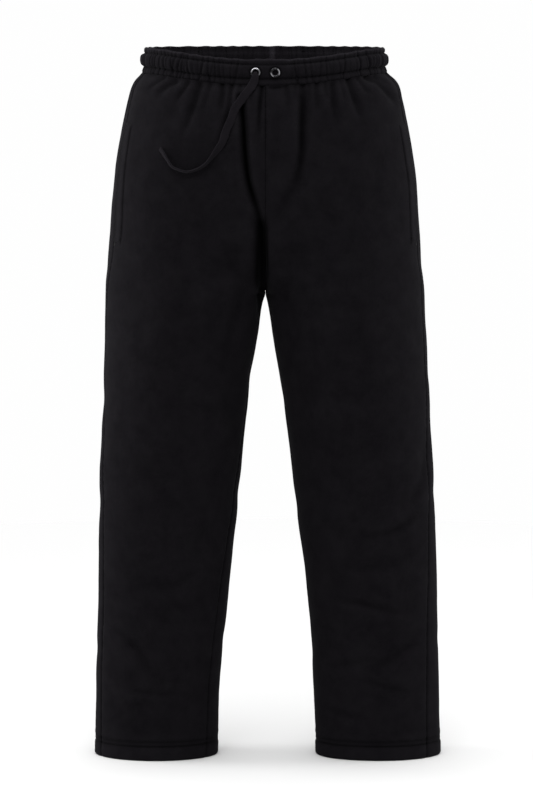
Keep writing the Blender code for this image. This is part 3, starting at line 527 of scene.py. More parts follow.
def cloth(side, face, phi, level):
    """Base points, normals, height and tone of a panel's outer surface."""
    base, normals = surface(side, phi, level), outward(side, phi, level)
    speed = stretch_round(side, phi, level)
    inseam, side_seam = panel_angles(side, face, level)
    to_inner, to_side = np.abs(phi - inseam) * speed, np.abs(phi - side_seam) * speed
    down = level - BAND_HEIGHT
    height, tone = crease_relief(base, normals)
    height += SLOW_DEPTH * wave_relief(base, SLOW_WAVES) * smooth_step(down / 0.06)
    height += QUICK_DEPTH * wave_relief(base, QUICK_WAVES)

    in_mouth = smooth_step((level - MOUTH_TOP) / MOUTH_FADE) * smooth_step((MOUTH_FOOT - level) / MOUTH_FADE)
    pucker = 1 + 0.35 * np.sin(level * 420 + 2 * np.sin(level * 61)) + 0.2 * np.sin(level * 930)
    flat_middle = smooth_step((level - 0.100) / 0.050) * smooth_step((CROTCH_LEVEL - level) / 0.050)
    inner_roll = bell(to_inner / SEAM_ROLL_WIDTH) * (1 - 0.75 * flat_middle) * pucker
    side_roll = bell(to_side / SEAM_ROLL_WIDTH) * (1 - 0.6 * in_mouth) * pucker
    height -= SEAM_ROLL * (inner_roll + side_roll)
    # painted shade where the cloth turns in beside the seams
    tone -= SEAM_SHADE * (inner_roll + side_roll) / pucker
    # painted shadow between the thighs, where they lie together
    thigh_shadow_mask = smooth_step((level - THIGH_SHADOW_TOP) / 0.080) * smooth_step((THIGH_SHADOW_FOOT - level) / 0.070)
    reach, fade = THIGH_SHADOW[side]
    tone -= THIGH_SHADOW_TONE * thigh_shadow_mask * smooth_step((reach - to_inner) / fade)
    if face == "front":
        topstitch = in_mouth * bell((to_side - MOUTH_STITCH) / GROOVE_WIDTH)
        height += MOUTH_LIFT * in_mouth * smooth_step((MOUTH_REACH - to_side) / 0.008)
        height -= 2.2 * GROOVE * topstitch
        # painted shade along the mouth's edge and in the topstitching's groove, painted light on the ridges
        # beside them
        tone -= MOUTH_ROW_SHADE * topstitch + MOUTH_SHADE * in_mouth * bell(to_side / 0.0045)
        tone += in_mouth * (MOUTH_RIDGE_LIGHT * bell((to_side - 0.0145) / 0.0045)
                            + MOUTH_RIDGE_LIGHT * bell((to_side - MOUTH_STITCH - 0.0042) / 0.0022))
    else:
        height -= MOUTH_SINK * in_mouth * bell(to_side / 0.010)
        # painted shade in the mouth's opening, on the cloth behind it
        tone -= MOUTH_SHADE * in_mouth * bell(to_side / 0.006)

    height += SWELL * smooth_step(down / SWELL_RISE) * bell(down / SWELL_FADE)
    height -= BAND_GROOVE * bell(down / 0.0022)
    # painted shade in the groove under the band
    tone -= BAND_GROOVE_SHADE * bell(down / 0.0030)
    for row in HEM_ROWS:
        in_groove = bell((level - row) / GROOVE_WIDTH)
        height -= GROOVE * in_groove
        # painted shade in the hem rows' grooves
        tone -= GROOVE_SHADE * in_groove
    height += FOLD_OUT * smooth_step((level - HEM_ROWS[1]) / FOLD_EASE)
    height += FOLD_RIDGE * bell((level - HEM_ROWS[0] + 0.006) / 0.0035)
    height -= FOOT_IN * bell((FOOT_LEVEL - level) / 0.0014)
    # painted light on the hem's fold below its rows
    tone += FOLD_LIGHT * smooth_step((level - HEM_ROWS[1] - 0.002) / FOLD_EASE)
    return base, normals, height, np.clip(tone, *TONE_LIMITS)


# ---- panels ---------------------------------------------------------------------------------------
INSIDE_SHARE = 3                # the inside has one mesh row and column for this many outside
INSIDE_NAP_AND_LIGHT = 0.70              # the inside is brushed, and its nap is lighter; on the band's inner face, the cloth's face folded in, this lightening is painted light
ROW_COUNT, COLUMN_COUNT = 420, 138
ROW_KNOTS = (BAND_HEIGHT + SEAM_GAP / 2, 0.09, 0.12, 0.30, 0.37, 1.00, FOOT_LEVEL)
ROW_STEPS = (1.2, 1.5, 2.3, 2.3, 2.4, 3.2, 0.8)
# across a front panel from the middle, and across a back panel
COLUMN_KNOTS = (0.0, 0.05, 0.22, 0.40, 0.94, 1.0)
COLUMN_STEPS = {"front": (0.8, 1.0, 1.1, 1.9, 1.9, 0.8), "back": (0.7, 1.8, 2.0, 2.0, 1.8, 0.7)}


def lowest_near(height, reach):
    """The lowest height within that many rows and columns."""
    rows, cols = height.shape
    padded = np.pad(height, reach, mode="edge")
    down = np.min([padded[i:i + rows] for i in range(2 * reach + 1)], axis=0)
    return np.min([down[:, j:j + cols] for j in range(2 * reach + 1)], axis=0)


def make_panel(side, face, material):
    """One leg's front or back as a thin closed shell. Gives the piece, its inside grid and its sizes."""
    levels = spread(ROW_KNOTS, ROW_STEPS, ROW_COUNT)
    share = spread(COLUMN_KNOTS, COLUMN_STEPS[face], COLUMN_COUNT)
    level = np.repeat(levels[:, None], len(share), axis=1)
    middle, side_seam = panel_angles(side, face, level)
    phi = middle + (side_seam - middle) * share
    base, normals, height, tone = cloth(side, face, phi, level)
    outer = base + normals * height[..., None]
    wall = WALL + HEM_FOLD * smooth_step((level - HEM_LEVEL) / 0.0015)
    under = lowest_near(height, INSIDE_SHARE) - wall
    inner = base + normals * under[..., None]
    for end, next_in, rows in ((0, 1, levels >= CROTCH_LEVEL), (-1, -2, levels > 0)):
        along = outer[rows, next_in] - outer[rows, end]
        shift = along / np.linalg.norm(along, axis=-1, keepdims=True) * SEAM_GAP / 2
        outer[rows, end] += shift
        inner[rows, end] += shift
    away = 1 if side == "left" else -1
    for points in (outer, inner):
        points[..., 0] = away * np.maximum(away * points[..., 0], SEAM_GAP / 2)
    coarse = inner[::INSIDE_SHARE, ::INSIDE_SHARE]

    run = np.linalg.norm(np.diff(base, axis=1), axis=-1).cumsum(axis=1)
    run = np.concatenate([np.zeros((len(levels), 1)), run], axis=1)
    uv = np.stack([run - run[:, -1:] / 2, -level], axis=-1)
    outside = np.arange(outer[..., 0].size).reshape(outer.shape[:2])
    inside = outer[..., 0].size + np.arange(coarse[..., 0].size).reshape(coarse.shape[:2])
    flip = (side == "left") == (face == "front")
    faces = [grid_faces(outside, flip), grid_faces(inside, not flip)]
    for edge, wall_flip in ((0, flip), (-1, not flip)):
        faces.append(fan_wall(outside[edge], inside[edge], INSIDE_SHARE, wall_flip))
        faces.append(fan_wall(outside[:, edge], inside[:, edge], INSIDE_SHARE, not wall_flip))
    points = np.concatenate([outer.reshape(-1, 3), coarse.reshape(-1, 3)])
    uvs = np.concatenate([uv.reshape(-1, 2), uv[::INSIDE_SHARE, ::INSIDE_SHARE].reshape(-1, 2)])
    tones = np.concatenate([tone.ravel(), np.full(coarse[..., 0].size, INSIDE_NAP_AND_LIGHT)])
    piece = add_mesh(f"cloth_{face}_{side}", points, faces, material, uvs, tones)
    dress(piece, f"{face}_{side}")
    return {"piece": piece, "outer": outer, "inner": inner, "normals": normals, "levels": levels,
            "width": run[:, -1]}


def dress(piece, node):
    """The piece replaces that node and rides on the one body."""
    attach(piece, "root")
    if node:
        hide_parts(node)


# ---- waistband ------------------------------------------------------------------------------------
BAND_COLUMNS = 1080
RIB_COUNT, RIB_SEED, RIB_DEPTH = 138, 11, 0.0024
BAND_THICK = 0.0028
# each rib's share of the depth, its half width, lean, bow, and the levels where it starts and ends
RIB_RANGES = ((0.25, 1.0), (0.0009, 0.0021), (-0.0018, 0.0018), (-0.0008, 0.0008),
              (0.004, 0.010), (0.025, 0.031))
RIB_MIDDLE = 0.017              # the level that the ribs lean about
RIB_INSIDE = 0.0011             # how far the elastic swells the inside, and the ribs draw it in
BAND_ROWS = (0.0075, 0.0272)    # rows of stitches above and below the elastic
BAND_ROW_DEPTH, BAND_ROW_WIDTH = 0.0012, 0.0013
# painted shade: how much darker the cloth is painted between ribs, in the two rows, where the band turns in,
# and round the eyelets
RIB_SHADE, UPPER_ROW_SHADE, LOWER_ROW_SHADE, TURN_SHADE, RING_SHADE = 0.42, 0.15, 0.48, 0.20, 0.6
TURN_LEVEL = 0.0325             # below it the band turns in to its seam
BAND_JOIN = 0.0125              # where the band's ends are joined, beside the centre back
JOIN_TONE = 2.4                 # and the band's inside is lighter along the join
BAND_TONE = 0.12                # the stretched band is a little lighter than the panels
RIM_HIGHLIGHT = 1.0                  # the rim's edge is painted light, as a painted highlight
RIM_LIFT = 0.0010               # the rim stands higher over the eyelets


def band_place(turns, down, out):
    """Points, normals and base points of the band; turns runs from 0 at the centre front over the
    wearer's left."""
    turns = turns % 1.0
    left = turns <= 0.5
    phi = 4 * math.pi * np.where(left, turns, 1 - turns)
    base = np.where(left[..., None], surface("left", phi, down), surface("right", phi, down))
    normal = np.where(left[..., None], outward("left", phi, down), outward("right", phi, down))
    return base + normal * out[..., None], normal, base


def plainness(base):
    """0 by the eyelets, where the band is plain, to 1 where it is fully gathered."""
    plain = smooth_step((np.abs(base[..., 0]) - PLAIN_HALF) / PLAIN_EASE)
    return np.where(base[..., 1] < 0, plain, 1.0)


def eyelet_place(side):
    """A matrix whose origin is the eyelet's middle on the cloth and whose Z axis points outwards."""
    turns = np.linspace(0.0, 0.1, 201)
    base = band_place(turns, np.full_like(turns, EYELET_DOWN), np.zeros_like(turns))[2]
    turn = float(np.interp(EYELET_X, np.abs(base[:, 0]), turns))
    out = np.interp(EYELET_DOWN, *zip(*BAND_OUTSIDE)) * PLAIN_OUT
    turn = np.array([turn if side == "left" else 1 - turn])
    point, normal = band_place(turn, np.array([EYELET_DOWN]), np.array([out]))[:2]
    turned = Vector(normal[0]).to_track_quat("Z", "Y").to_matrix().to_4x4()
    return Matrix.Translation(Vector(point[0])) @ turned


def make_waistband(material):
    """A doubled band, gathered over elastic into uneven ribs between two rows of stitches."""
    fine = np.linspace(0.0, 1.0, 4001)
    run = run_along(band_place(fine, np.full_like(fine, BAND_HEIGHT / 2), np.zeros_like(fine))[0])
    length = run[-1]
    arc = np.arange(BAND_COLUMNS) / BAND_COLUMNS * length
    turns = np.interp(arc, run, fine)

    half = BAND_THICK / 2
    rim = [(half - half * math.sin(a), -half + half * math.cos(a)) for a in np.linspace(0, math.pi, 9)]
    outside = [(down, None) for down in np.linspace(half + 0.0006, BAND_HEIGHT - SEAM_GAP / 2, 42)]
    inside = [(down, -BAND_THICK) for down in np.linspace(BAND_HEIGHT - SEAM_GAP / 2, half + 0.001, 20)]
    profile = [(down, out, 1) for down, out in outside] + [(d, o, -1) for d, o in inside] \
        + [(d, o, 0) for d, o in rim[::-1]]
    down = np.array([row[0] for row in profile])
    face = np.array([row[2] for row in profile])
    down_grid = np.repeat(down[None], BAND_COLUMNS, axis=0)
    turn_grid = np.repeat(turns[:, None], len(down), axis=1)
    arc_grid = np.repeat(arc[:, None], len(down), axis=1)
    plain = plainness(band_place(turn_grid, down_grid, np.zeros_like(down_grid))[2])

    knots = np.array(BAND_OUTSIDE)
    puff = smooth_through(down, knots[:, 0], knots[:, 1])
    held_down = [1 - 0.9 * bell((down - row) / 0.0012) for row in BAND_ROWS]
    puff = np.maximum(puff, 0.0) * held_down[0] * held_down[1]
    in_rows = [bell((down - row) / BAND_ROW_WIDTH) for row in BAND_ROWS]
    chance = np.random.default_rng(RIB_SEED)
    gaps = chance.uniform(0.5, 1.5, RIB_COUNT)
    places = np.cumsum(gaps) / gaps.sum() * length
    ribs = np.zeros_like(arc_grid)
    for place in places:
        depth, width, lean, bow, top, foot = (chance.uniform(*limits) for limits in RIB_RANGES)
        height = (down_grid - RIB_MIDDLE) / 0.010
        off = arc_grid - place - lean * height - bow * height ** 2
        off = (off + length / 2) % length - length / 2
        held = smooth_step((down_grid - top) / 0.004) * smooth_step((foot - down_grid) / 0.004)
        ribs += depth * bell(off / width) * (0.70 + 0.30 * held)
    fullness = 1 + 0.12 * np.sin(arc_grid * 2 * math.pi / 0.031 + 1.3 * np.sin(arc_grid * 60))
    turned_in = smooth_step((down - TURN_LEVEL) / (BAND_HEIGHT - TURN_LEVEL))
    out_face = puff * fullness * (PLAIN_OUT + (1 - PLAIN_OUT) * plain) * (1 - turned_in) + 0.0006 * plain
    out_face = out_face - RIB_DEPTH * ribs * plain
    out_face = out_face - BAND_ROW_DEPTH * (in_rows[0] + in_rows[1]) - 0.0008 * turned_in
    in_face = -BAND_THICK - RIB_INSIDE * smooth_step((down - 0.008) / 0.004) \
        * smooth_step((0.027 - down) / 0.004) + RIB_INSIDE * ribs
    rim_out = np.array([row[1] if row[2] == 0 else 0.0 for row in profile])
    out = np.where(face == 1, out_face, np.where(face == -1, in_face, rim_out - 0.0008 * ribs * plain))
    points, normal, base = band_place(turn_grid, down_grid, out)

    lift = smooth_step((base[..., 0] + 0.0150) / 0.0012) * smooth_step((0.030 - base[..., 0]) / 0.020) \
        * (base[..., 1] < 0) * smooth_step((0.008 - down_grid) / 0.008)
    wobble = 0.0004 * np.sin(arc_grid * 2 * math.pi / 0.024 + 2 * np.sin(arc_grid * 37))
    points[..., 2] += RIM_LIFT * lift + wobble * smooth_step((0.006 - down_grid) / 0.006)
    # painted shadow round each eyelet's flange
    ring_shadow_mask = np.zeros_like(down_grid)
    for side in SIDES:
        place = eyelet_place(side)
        middle, axis = np.array(place.translation), np.array(place.col[2][:3])
        offset = points - middle
        high = offset @ axis
        radius = np.linalg.norm(offset - high[..., None] * axis, axis=-1)
        target = np.where(radius < BARREL_RADIUS + 0.0003, -BARREL_DEPTH - 0.0006, -EYELET_SEAT)
        target = np.where(radius > FLANGE_RADIUS + 0.0004, 0.0, target)
        flat = smooth_step((0.0115 - radius) / 0.003) * (face == 1) * (base[..., 1] < 0)
        points += (axis * ((target - high) * flat)[..., None])
        ring_shadow_mask += bell((radius - 0.0082) / 0.0015) * (face == 1) * (base[..., 1] < 0)
    numbers = joined(joined(np.arange(down_grid.size).reshape(down_grid.shape)), 1)
    uv = np.stack([arc_grid, -down_grid], axis=-1).reshape(-1, 2)
    upper, lower = (row * (face == 1) for row in in_rows)
    # painted shade between the ribs, in the stitch rows, where the band turns in, and round the eyelets
    tone = BAND_TONE - RIB_SHADE * ribs * plain - UPPER_ROW_SHADE * upper - LOWER_ROW_SHADE * lower
    tone = tone - TURN_SHADE * turned_in - RING_SHADE * ring_shadow_mask
    # painted highlight along the rim's edge
    rim = smooth_step((0.0036 - down_grid) / 0.0022) * (face >= 0)
    join = bell(((arc_grid - length / 2 + BAND_JOIN) / 0.0040) ** 2) * (face <= 0)
    # the band's inner face is lightened too, as painted light
    tone = np.clip(tone, *TONE_LIMITS) + RIM_HIGHLIGHT * rim + (face == -1) * INSIDE_NAP_AND_LIGHT + JOIN_TONE * join
    piece = add_mesh("band", points.reshape(-1, 3), [grid_faces(numbers)], material, uv, tone.ravel())
    dress(piece, "waistband")
    rows = [int(np.abs(np.where(face == 1, down, 9.0) - row).argmin()) for row in BAND_ROWS]
    return piece, [(joined(points[:, row]), joined(normal[:, row])) for row in rows]


# ---- seam allowances inside, and stitches ---------------------------------------------------------
STRIP_GAP, STRIP_THICK = 0.0003, 0.0012
# the band's allowance: its columns round, and the level of each row and how far out it lies
ALLOWANCE_COLUMNS = 360
ALLOWANCE_ROWS = ((0.0310, -0.0034), (0.0360, -0.0052), (0.0405, -0.0074))
STITCH_SIDES = 6
# each kind of stitch: its length, its pitch and its radius
BAND_STITCH = (0.0024, 0.0030, 0.00030)
HEM_STITCH = (0.0026, 0.0031, 0.00028)
POCKET_STITCH, BARTACK = (0.0026, 0.0032, 0.00030), (0.0082, 0.0100, 0.00028)
# a stitch's rings: where along it, how thick, and how far up, in radii
STITCH_RINGS = ((0.0, 0.35, -0.5), (0.18, 0.95, 0.2), (0.5, 1.0, 0.4), (0.82, 0.95, 0.2), (1.0, 0.35, -0.5))


def slab(name, top, bottom, material, slot, ring=False):
    """A closed strip between two grids of points. A ring's last row joins its first."""
    count = top[..., 0].size
    numbers = np.arange(count).reshape(top.shape[:2])
    if ring:
        numbers = joined(numbers)
    faces = [grid_faces(numbers), grid_faces(numbers + count, True)]
    ends = () if ring else ((numbers[0], False), (numbers[-1], True))
    for edge, flip in (*ends, (numbers[:, 0], True), (numbers[:, -1], False)):
        wall = np.stack([edge[:-1], edge[1:], edge[1:] + count, edge[:-1] + count], axis=-1)
        faces.append(wall[:, ::-1] if flip else wall)
    flat = np.concatenate([top.reshape(-1, 3), bottom.reshape(-1, 3)])
    piece = add_mesh(name, flat, faces, material, flat[:, (0, 2)])
    piece.data.set_sharp_from_angle(angle=math.radians(50))
    dress(piece, None)
    return piece


def make_seam_strip(name, one, one_edge, other, other_edge, rows, material):
    """The overlocked allowance behind a seam, over the inside edges of the two panels that it joins."""
    lanes = []
    for panel, edge in ((one, one_edge), (other, other_edge)):
        lane = [0, INSIDE_SHARE] if edge == 0 else [-1, -1 - INSIDE_SHARE]
        lanes.append([(panel["inner"][rows, i], panel["normals"][rows, i]) for i in lane])
    order = lanes[0][::-1] + lanes[1]
    points, normals = (np.stack([lane[i] for lane in order], axis=1) for i in (0, 1))
    return slab(name, points - normals * STRIP_GAP, points - normals * (STRIP_GAP + STRIP_THICK),
                material, "fleece")


def make_band_allowance(material):
    """The overlocked edge behind the seam between the band and the legs, all round."""
    turns = np.arange(ALLOWANCE_COLUMNS) / ALLOWANCE_COLUMNS
    grids = []
    for thick in (0.0, STRIP_THICK):
        lanes = [band_place(turns, np.full(len(turns), down), np.full(len(turns), out - thick))[0]
                 for down, out in ALLOWANCE_ROWS]
        grids.append(np.stack(lanes, axis=1))
    return slab("allowance_waist", *grids, material, "fleece", ring=True)


def make_stitches(name, runs, material):
    """Short raised stitches along each run: its points and normals, stitch length, pitch and radius."""
    all_points, all_faces, first = [], [], 0
    around = 2 * math.pi * np.arange(STITCH_SIDES) / STITCH_SIDES
    place, size, lift = np.array(STITCH_RINGS).T
    for points, normals, length, pitch, radius in runs:
        run = run_along(points)
        count = int((run[-1] - length) / pitch) + 1
        starts = np.arange(count) * pitch
        at = starts[:, None] + place * length
        middle = np.stack([np.interp(at, run, points[:, i]) for i in range(3)], axis=-1)
        up = np.stack([np.interp(at, run, normals[:, i]) for i in range(3)], axis=-1)
        up /= np.linalg.norm(up, axis=-1, keepdims=True)
        ahead = middle[:, -1:] - middle[:, :1]
        ahead = ahead / np.maximum(np.linalg.norm(ahead, axis=-1, keepdims=True), 1e-9)
        across = np.cross(up, ahead)
        thick = size[None, :, None] * radius
        middle = middle + up * (lift[None, :, None] * radius)
        ring = (middle[:, :, None] + across[:, :, None] * (thick * 1.15)[..., None] * np.cos(around)[:, None]
                + up[:, :, None] * thick[..., None] * np.sin(around)[:, None])
        numbers = first + np.arange(ring[..., 0].size).reshape(ring.shape[:3])
        all_faces += [grid_faces(one) for one in joined(numbers, 2)]
        all_faces += [numbers[:, 0], numbers[:, -1, ::-1]]
        all_points.append(ring.reshape(-1, 3))
        first += ring[..., 0].size
    piece = add_mesh(name, np.concatenate(all_points), all_faces, material)
    dress(piece, None)
    return piece


def mouth_runs(side):
    """The pocket's topstitching, which turns in to the seam at both ends, and its two bartacks."""
    level = np.linspace(MOUTH_TOP, MOUTH_FOOT, 160)
    ends = smooth_step((level - MOUTH_TOP) / 0.006) * smooth_step((MOUTH_FOOT - level) / 0.014)
    away = 0.0012 + (MOUTH_STITCH - 0.0012) * ends ** 0.6

    def on_cloth(level, away):
        phi = seam_angle("side", side, level)
        for _ in range(2):
            phi = seam_angle("side", side, level) - away / stretch_round(side, phi, level)
        base, normals, height, _ = cloth(side, "front", phi, level)
        return base + normals * height[:, None], normals

    runs = [(*on_cloth(level, away), *POCKET_STITCH)]
    bar = np.linspace(0.0006, 0.0096, 8)
    for middle in (MOUTH_TOP + 0.003, MOUTH_FOOT - 0.002):
        for k in range(9):
            row = np.full(len(bar), middle - 0.0016 + 0.0004 * k)
            runs.append((*on_cloth(row, bar), *BARTACK))
    return runs


# ---- pocket bags ----------------------------------------------------------------------------------
BAG_LANES, BAG_ROUNDING = 24, 9     # how many of the panel's inside columns it spans, and loses below


def make_pocket_bag(side, panel, material):
    """A flat jersey bag behind the front panel, rounded towards its lower inner corner."""
    points, normals = (panel[name][::INSIDE_SHARE, ::INSIDE_SHARE] for name in ("inner", "normals"))
    levels = panel["levels"][::INSIDE_SHARE]
    rows = np.flatnonzero((levels > BAG_TOP) & (levels < BAG_FOOT))
    at = (levels[rows] - BAG_TOP) / (BAG_FOOT - BAG_TOP)
    lanes = BAG_LANES - BAG_ROUNDING * smooth_step((at - 0.72) / 0.28)
    share = np.linspace(0.0, 1.0, BAG_LANES + 1)
    grid = []
    for row, lane in zip(rows, lanes):
        column = points.shape[1] - 1 - 0.8 - lane * share
        low = np.floor(column).astype(int)
        part = (column - low)[:, None]
        base = points[row, low] * (1 - part) + points[row, low + 1] * part
        normal = normals[row, low]
        grid.append((base - normal * SEAM_GAP * 2, base - normal * (SEAM_GAP * 2 + BAG_WALL)))
    outer, inner = (np.array([row[i] for row in grid]) for i in (0, 1))
    piece = slab(f"bag_{side}", outer, inner, material, "jersey")
    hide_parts(f"pocket_bag_{side}")
    return piece


# ---- eyelets --------------------------------------------------------------------------------------
# painted highlights on the flange: the middle and half of each bright arc in degrees from the wearer's left
# towards the rim, and how bright
RING_HIGHLIGHTS = {"right": ((108.0, 82.0, 19.0), (4.0, 45.0, 7.0)),
             "left": ((10.0, 54.0, 17.0), (215.0, 40.0, 13.0))}
HIGHLIGHT_RADIUS, HIGHLIGHT_WIDTH = 0.0060, 0.0008
RING_STEPS, ROLL_STEPS = 120, 25
ROLL_HEIGHT, ROLL_BASE = 0.0013, -0.0003


def make_eyelet(side, material):
    """A pressed ring: a rolled flange and a short barrel, turned round the eyelet's axis."""
    middle, half = (FLANGE_RADIUS + HOLE_RADIUS) / 2, (FLANGE_RADIUS - HOLE_RADIUS) / 2
    roll = [(middle + half * math.cos(angle), ROLL_BASE + ROLL_HEIGHT * math.sin(angle))
            for angle in np.linspace(0.0, math.pi, ROLL_STEPS)]
    barrel = [(HOLE_RADIUS, -BARREL_DEPTH), (BARREL_RADIUS, -BARREL_DEPTH), (BARREL_RADIUS, ROLL_BASE)]
    profile = roll + barrel
    place = eyelet_place(side)
    turns = [2 * math.pi * i / RING_STEPS for i in range(RING_STEPS)]
    points = [place @ Vector((r * math.cos(turn), r * math.sin(turn), height))
              for turn in turns for r, height in profile]
    count = len(profile)
    numbers = joined(joined(np.arange(RING_STEPS * count).reshape(RING_STEPS, count)), 1)
    around = np.degrees(turns)
    # painted highlights: bright arcs painted along the flange's crest in place of reflections
    glint = np.zeros(RING_STEPS)
    for middle_degrees, half_degrees, strength in RING_HIGHLIGHTS[side]:
        off = np.abs((around - middle_degrees + 180) % 360 - 180)
        glint += strength * smooth_step((half_degrees - off) / (0.45 * half_degrees))
    radii = np.array([r for r, _ in profile])
    crest = bell((radii - HIGHLIGHT_RADIUS) / HIGHLIGHT_WIDTH) * (np.arange(count) < ROLL_STEPS)
    piece = add_mesh(f"ring_{side}", np.array(points), [grid_faces(numbers)], material,
                     tone=(glint[:, None] * crest).ravel())
    piece.data.set_sharp_from_angle(angle=math.radians(60))
    dress(piece, f"eyelet_{side}")
    return piece


# ---- drawcord -------------------------------------------------------------------------------------
def make_drawcord(material):
    """A flat folded strip of the same cloth, lofted along the part's route."""
    route = columns(CORD_COLUMNS, CORD_ROWS)
    middle = np.stack([route[axis] for axis in "xyz"], axis=-1)
    run = run_along(middle)
    at = np.linspace(0.0, run[-1], CORD_RINGS)
    path = np.stack([smooth_through(at, run, middle[:, i]) for i in range(3)], axis=-1)
    width, thick, turn = (smooth_through(at, run, route[name]) for name in ("width", "thick", "turn"))
    ahead = np.gradient(path, axis=0)
    ahead /= np.linalg.norm(ahead, axis=1, keepdims=True)
    angles = 2 * math.pi * (np.arange(CORD_SIDES) + 0.5) / CORD_SIDES
    a, b = np.cos(angles), np.sin(angles)
    across_share = np.copysign(np.abs(a) ** 0.55, a)
    deep_share = np.copysign(np.abs(b) ** 0.75, b) * (1 - 0.22 * bell((across_share - 0.30) / 0.16))
    points = []
    for i in range(CORD_RINGS):
        forward = Vector(ahead[i])
        across = forward.cross(Vector((0.0, -1.0, 0.0)))
        across = (across if across.length > 0.3 else Vector((-1.0, 0.0, 0.0))).normalized()
        across = (across - forward * across.dot(forward)).normalized()
        spin = Matrix.Rotation(math.radians(turn[i]), 3, forward)
        uneven = 1 + 0.03 * math.sin(at[i] * 310) + 0.02 * math.sin(at[i] * 770 + 1)
        wide = np.array(spin @ across) * width[i] / 2 * uneven
        deep = np.array(spin @ forward.cross(across)) * thick[i] / 2
        points.append(path[i] + across_share[:, None] * wide + deep_share[:, None] * deep)
    points = np.array(points)
    numbers = np.arange(CORD_RINGS * CORD_SIDES).reshape(CORD_RINGS, CORD_SIDES)
    closed = joined(numbers, 1)
    all_points = np.concatenate([points.reshape(-1, 3), path[:1], path[-1:]])
    first_cap, last_cap = (np.stack([ring[:-1], ring[1:], np.full(CORD_SIDES, hub)], axis=-1)
                           for ring, hub in ((closed[0], numbers.size), (closed[-1], numbers.size + 1)))
    faces = [grid_faces(closed), first_cap, last_cap[:, ::-1]]
    flat_across = np.repeat(across_share[None] * CORD_WIDTH / 2, CORD_RINGS, axis=0)
    flat_along = np.repeat(at[:, None], CORD_SIDES, axis=1)
    uv = np.concatenate([np.stack([flat_across, flat_along], axis=-1).reshape(-1, 2), np.zeros((2, 2))])
    piece = add_mesh("cord", all_points, faces, material, uv)
    dress(piece, "drawcord")
    exit_point = list(eyelet_place("right").translation)
    return piece


# ---- materials ------------------------------------------------------------------------------------
def new_material(name, **sockets):
    material = bpy.data.materials.new(name)
    material.use_nodes = True
    shader = material.node_tree.nodes["Principled BSDF"]
    for socket, value in sockets.items():
        shader.inputs[socket.replace("_", " ")].default_value = value
    return material, material.node_tree, shader


def node(tree, kind, operation=None, **settings):
    made = tree.nodes.new(kind)
    if operation:
        made.operation = operation
    for key, value in settings.items():
        if key.startswith("in"):
            made.inputs[int(key[2:])].default_value = value
        else:
            setattr(made, key, value)
    return made


def maths(tree, operation, first, second=None):
    made = node(tree, "ShaderNodeMath", operation)
    for i, value in enumerate((first, second)):
        if hasattr(value, "is_linked"):
            tree.links.new(value, made.inputs[i])
        elif value is not None:
            made.inputs[i].default_value = value
    return made.outputs[0]


def with_tone(tree, colour):
    """The colour made lighter or darker by the tone that the mesh carries: painted shade and painted light,
    with the cloth's own lighter and darker parts.
    """
    tone = node(tree, "ShaderNodeAttribute", attribute_name="tone")
    shade = node(tree, "ShaderNodeVectorMath", "SCALE")
    tree.links.new(colour, shade.inputs[0])
    tree.links.new(maths(tree, "ADD", tone.outputs["Fac"], 1.0), shade.inputs["Scale"])
    return shade.outputs[0]


def ramp_between(tree, share, dark, light, low=0.0, high=1.0):
    """A colour from dark, where the share is low or less, to light, where it is high or more."""
    ramp = node(tree, "ShaderNodeValToRGB")
    for stop, position, colour in zip(ramp.color_ramp.elements, (low, high), (dark, light)):
        stop.position, stop.color = position, (*colour, 1.0)
    tree.links.new(share, ramp.inputs[0])
    return ramp.outputs[0]


def make_cloth_material(name, dark, light, wale=0.0011, course=0.0009):
    """Brushed fleece with a knitted face: wales and courses in the bump, uneven nap in the colour."""
    material, tree, shader = new_material(
        name, Roughness=0.92, Specular_IOR_Level=0.008,
        Sheen_Weight=0.012, Sheen_Roughness=0.45, Sheen_Tint=(0.93, 0.93, 1.0, 1.0))
    links = tree.links
    where = node(tree, "ShaderNodeTexCoord")
    split = node(tree, "ShaderNodeSeparateXYZ")
    links.new(where.outputs["UV"], split.inputs[0])
    across, along = split.outputs[0], split.outputs[1]
    wales = maths(tree, "SINE", maths(tree, "MULTIPLY", across, math.pi / wale))
    wale_share = maths(tree, "ABSOLUTE", wales)
    slant = maths(tree, "MULTIPLY", wale_share, 1.6)
    courses = maths(tree, "MULTIPLY", along, 2 * math.pi / course)
    loop = maths(tree, "SINE", maths(tree, "ADD", courses, slant))
    loop_share = maths(tree, "ADD", maths(tree, "MULTIPLY", loop, 0.25), 0.75)
    knit = maths(tree, "MULTIPLY", wale_share, loop_share)

    nap = node(tree, "ShaderNodeTexNoise", in2=700.0, in3=4.0, in4=0.65)
    patches = node(tree, "ShaderNodeTexNoise", in2=40.0, in3=5.0, in4=0.7)
    for noise in (nap, patches):
        links.new(where.outputs["Object"], noise.inputs["Vector"])
    relief = maths(tree, "ADD", knit, maths(tree, "MULTIPLY", nap.outputs[0], 1.2))
    bump = node(tree, "ShaderNodeBump")
    bump.inputs["Strength"].default_value = 0.35
    bump.inputs["Distance"].default_value = 0.0002
    links.new(relief, bump.inputs["Height"])
    links.new(bump.outputs[0], shader.inputs["Normal"])

    uneven = maths(tree, "ADD", maths(tree, "MULTIPLY", nap.outputs[0], 0.5),
                   maths(tree, "MULTIPLY", patches.outputs[0], 0.5))
    colour = ramp_between(tree, uneven, dark, light, 0.28, 0.72)
    links.new(with_tone(tree, colour), shader.inputs["Base Color"])
    return material


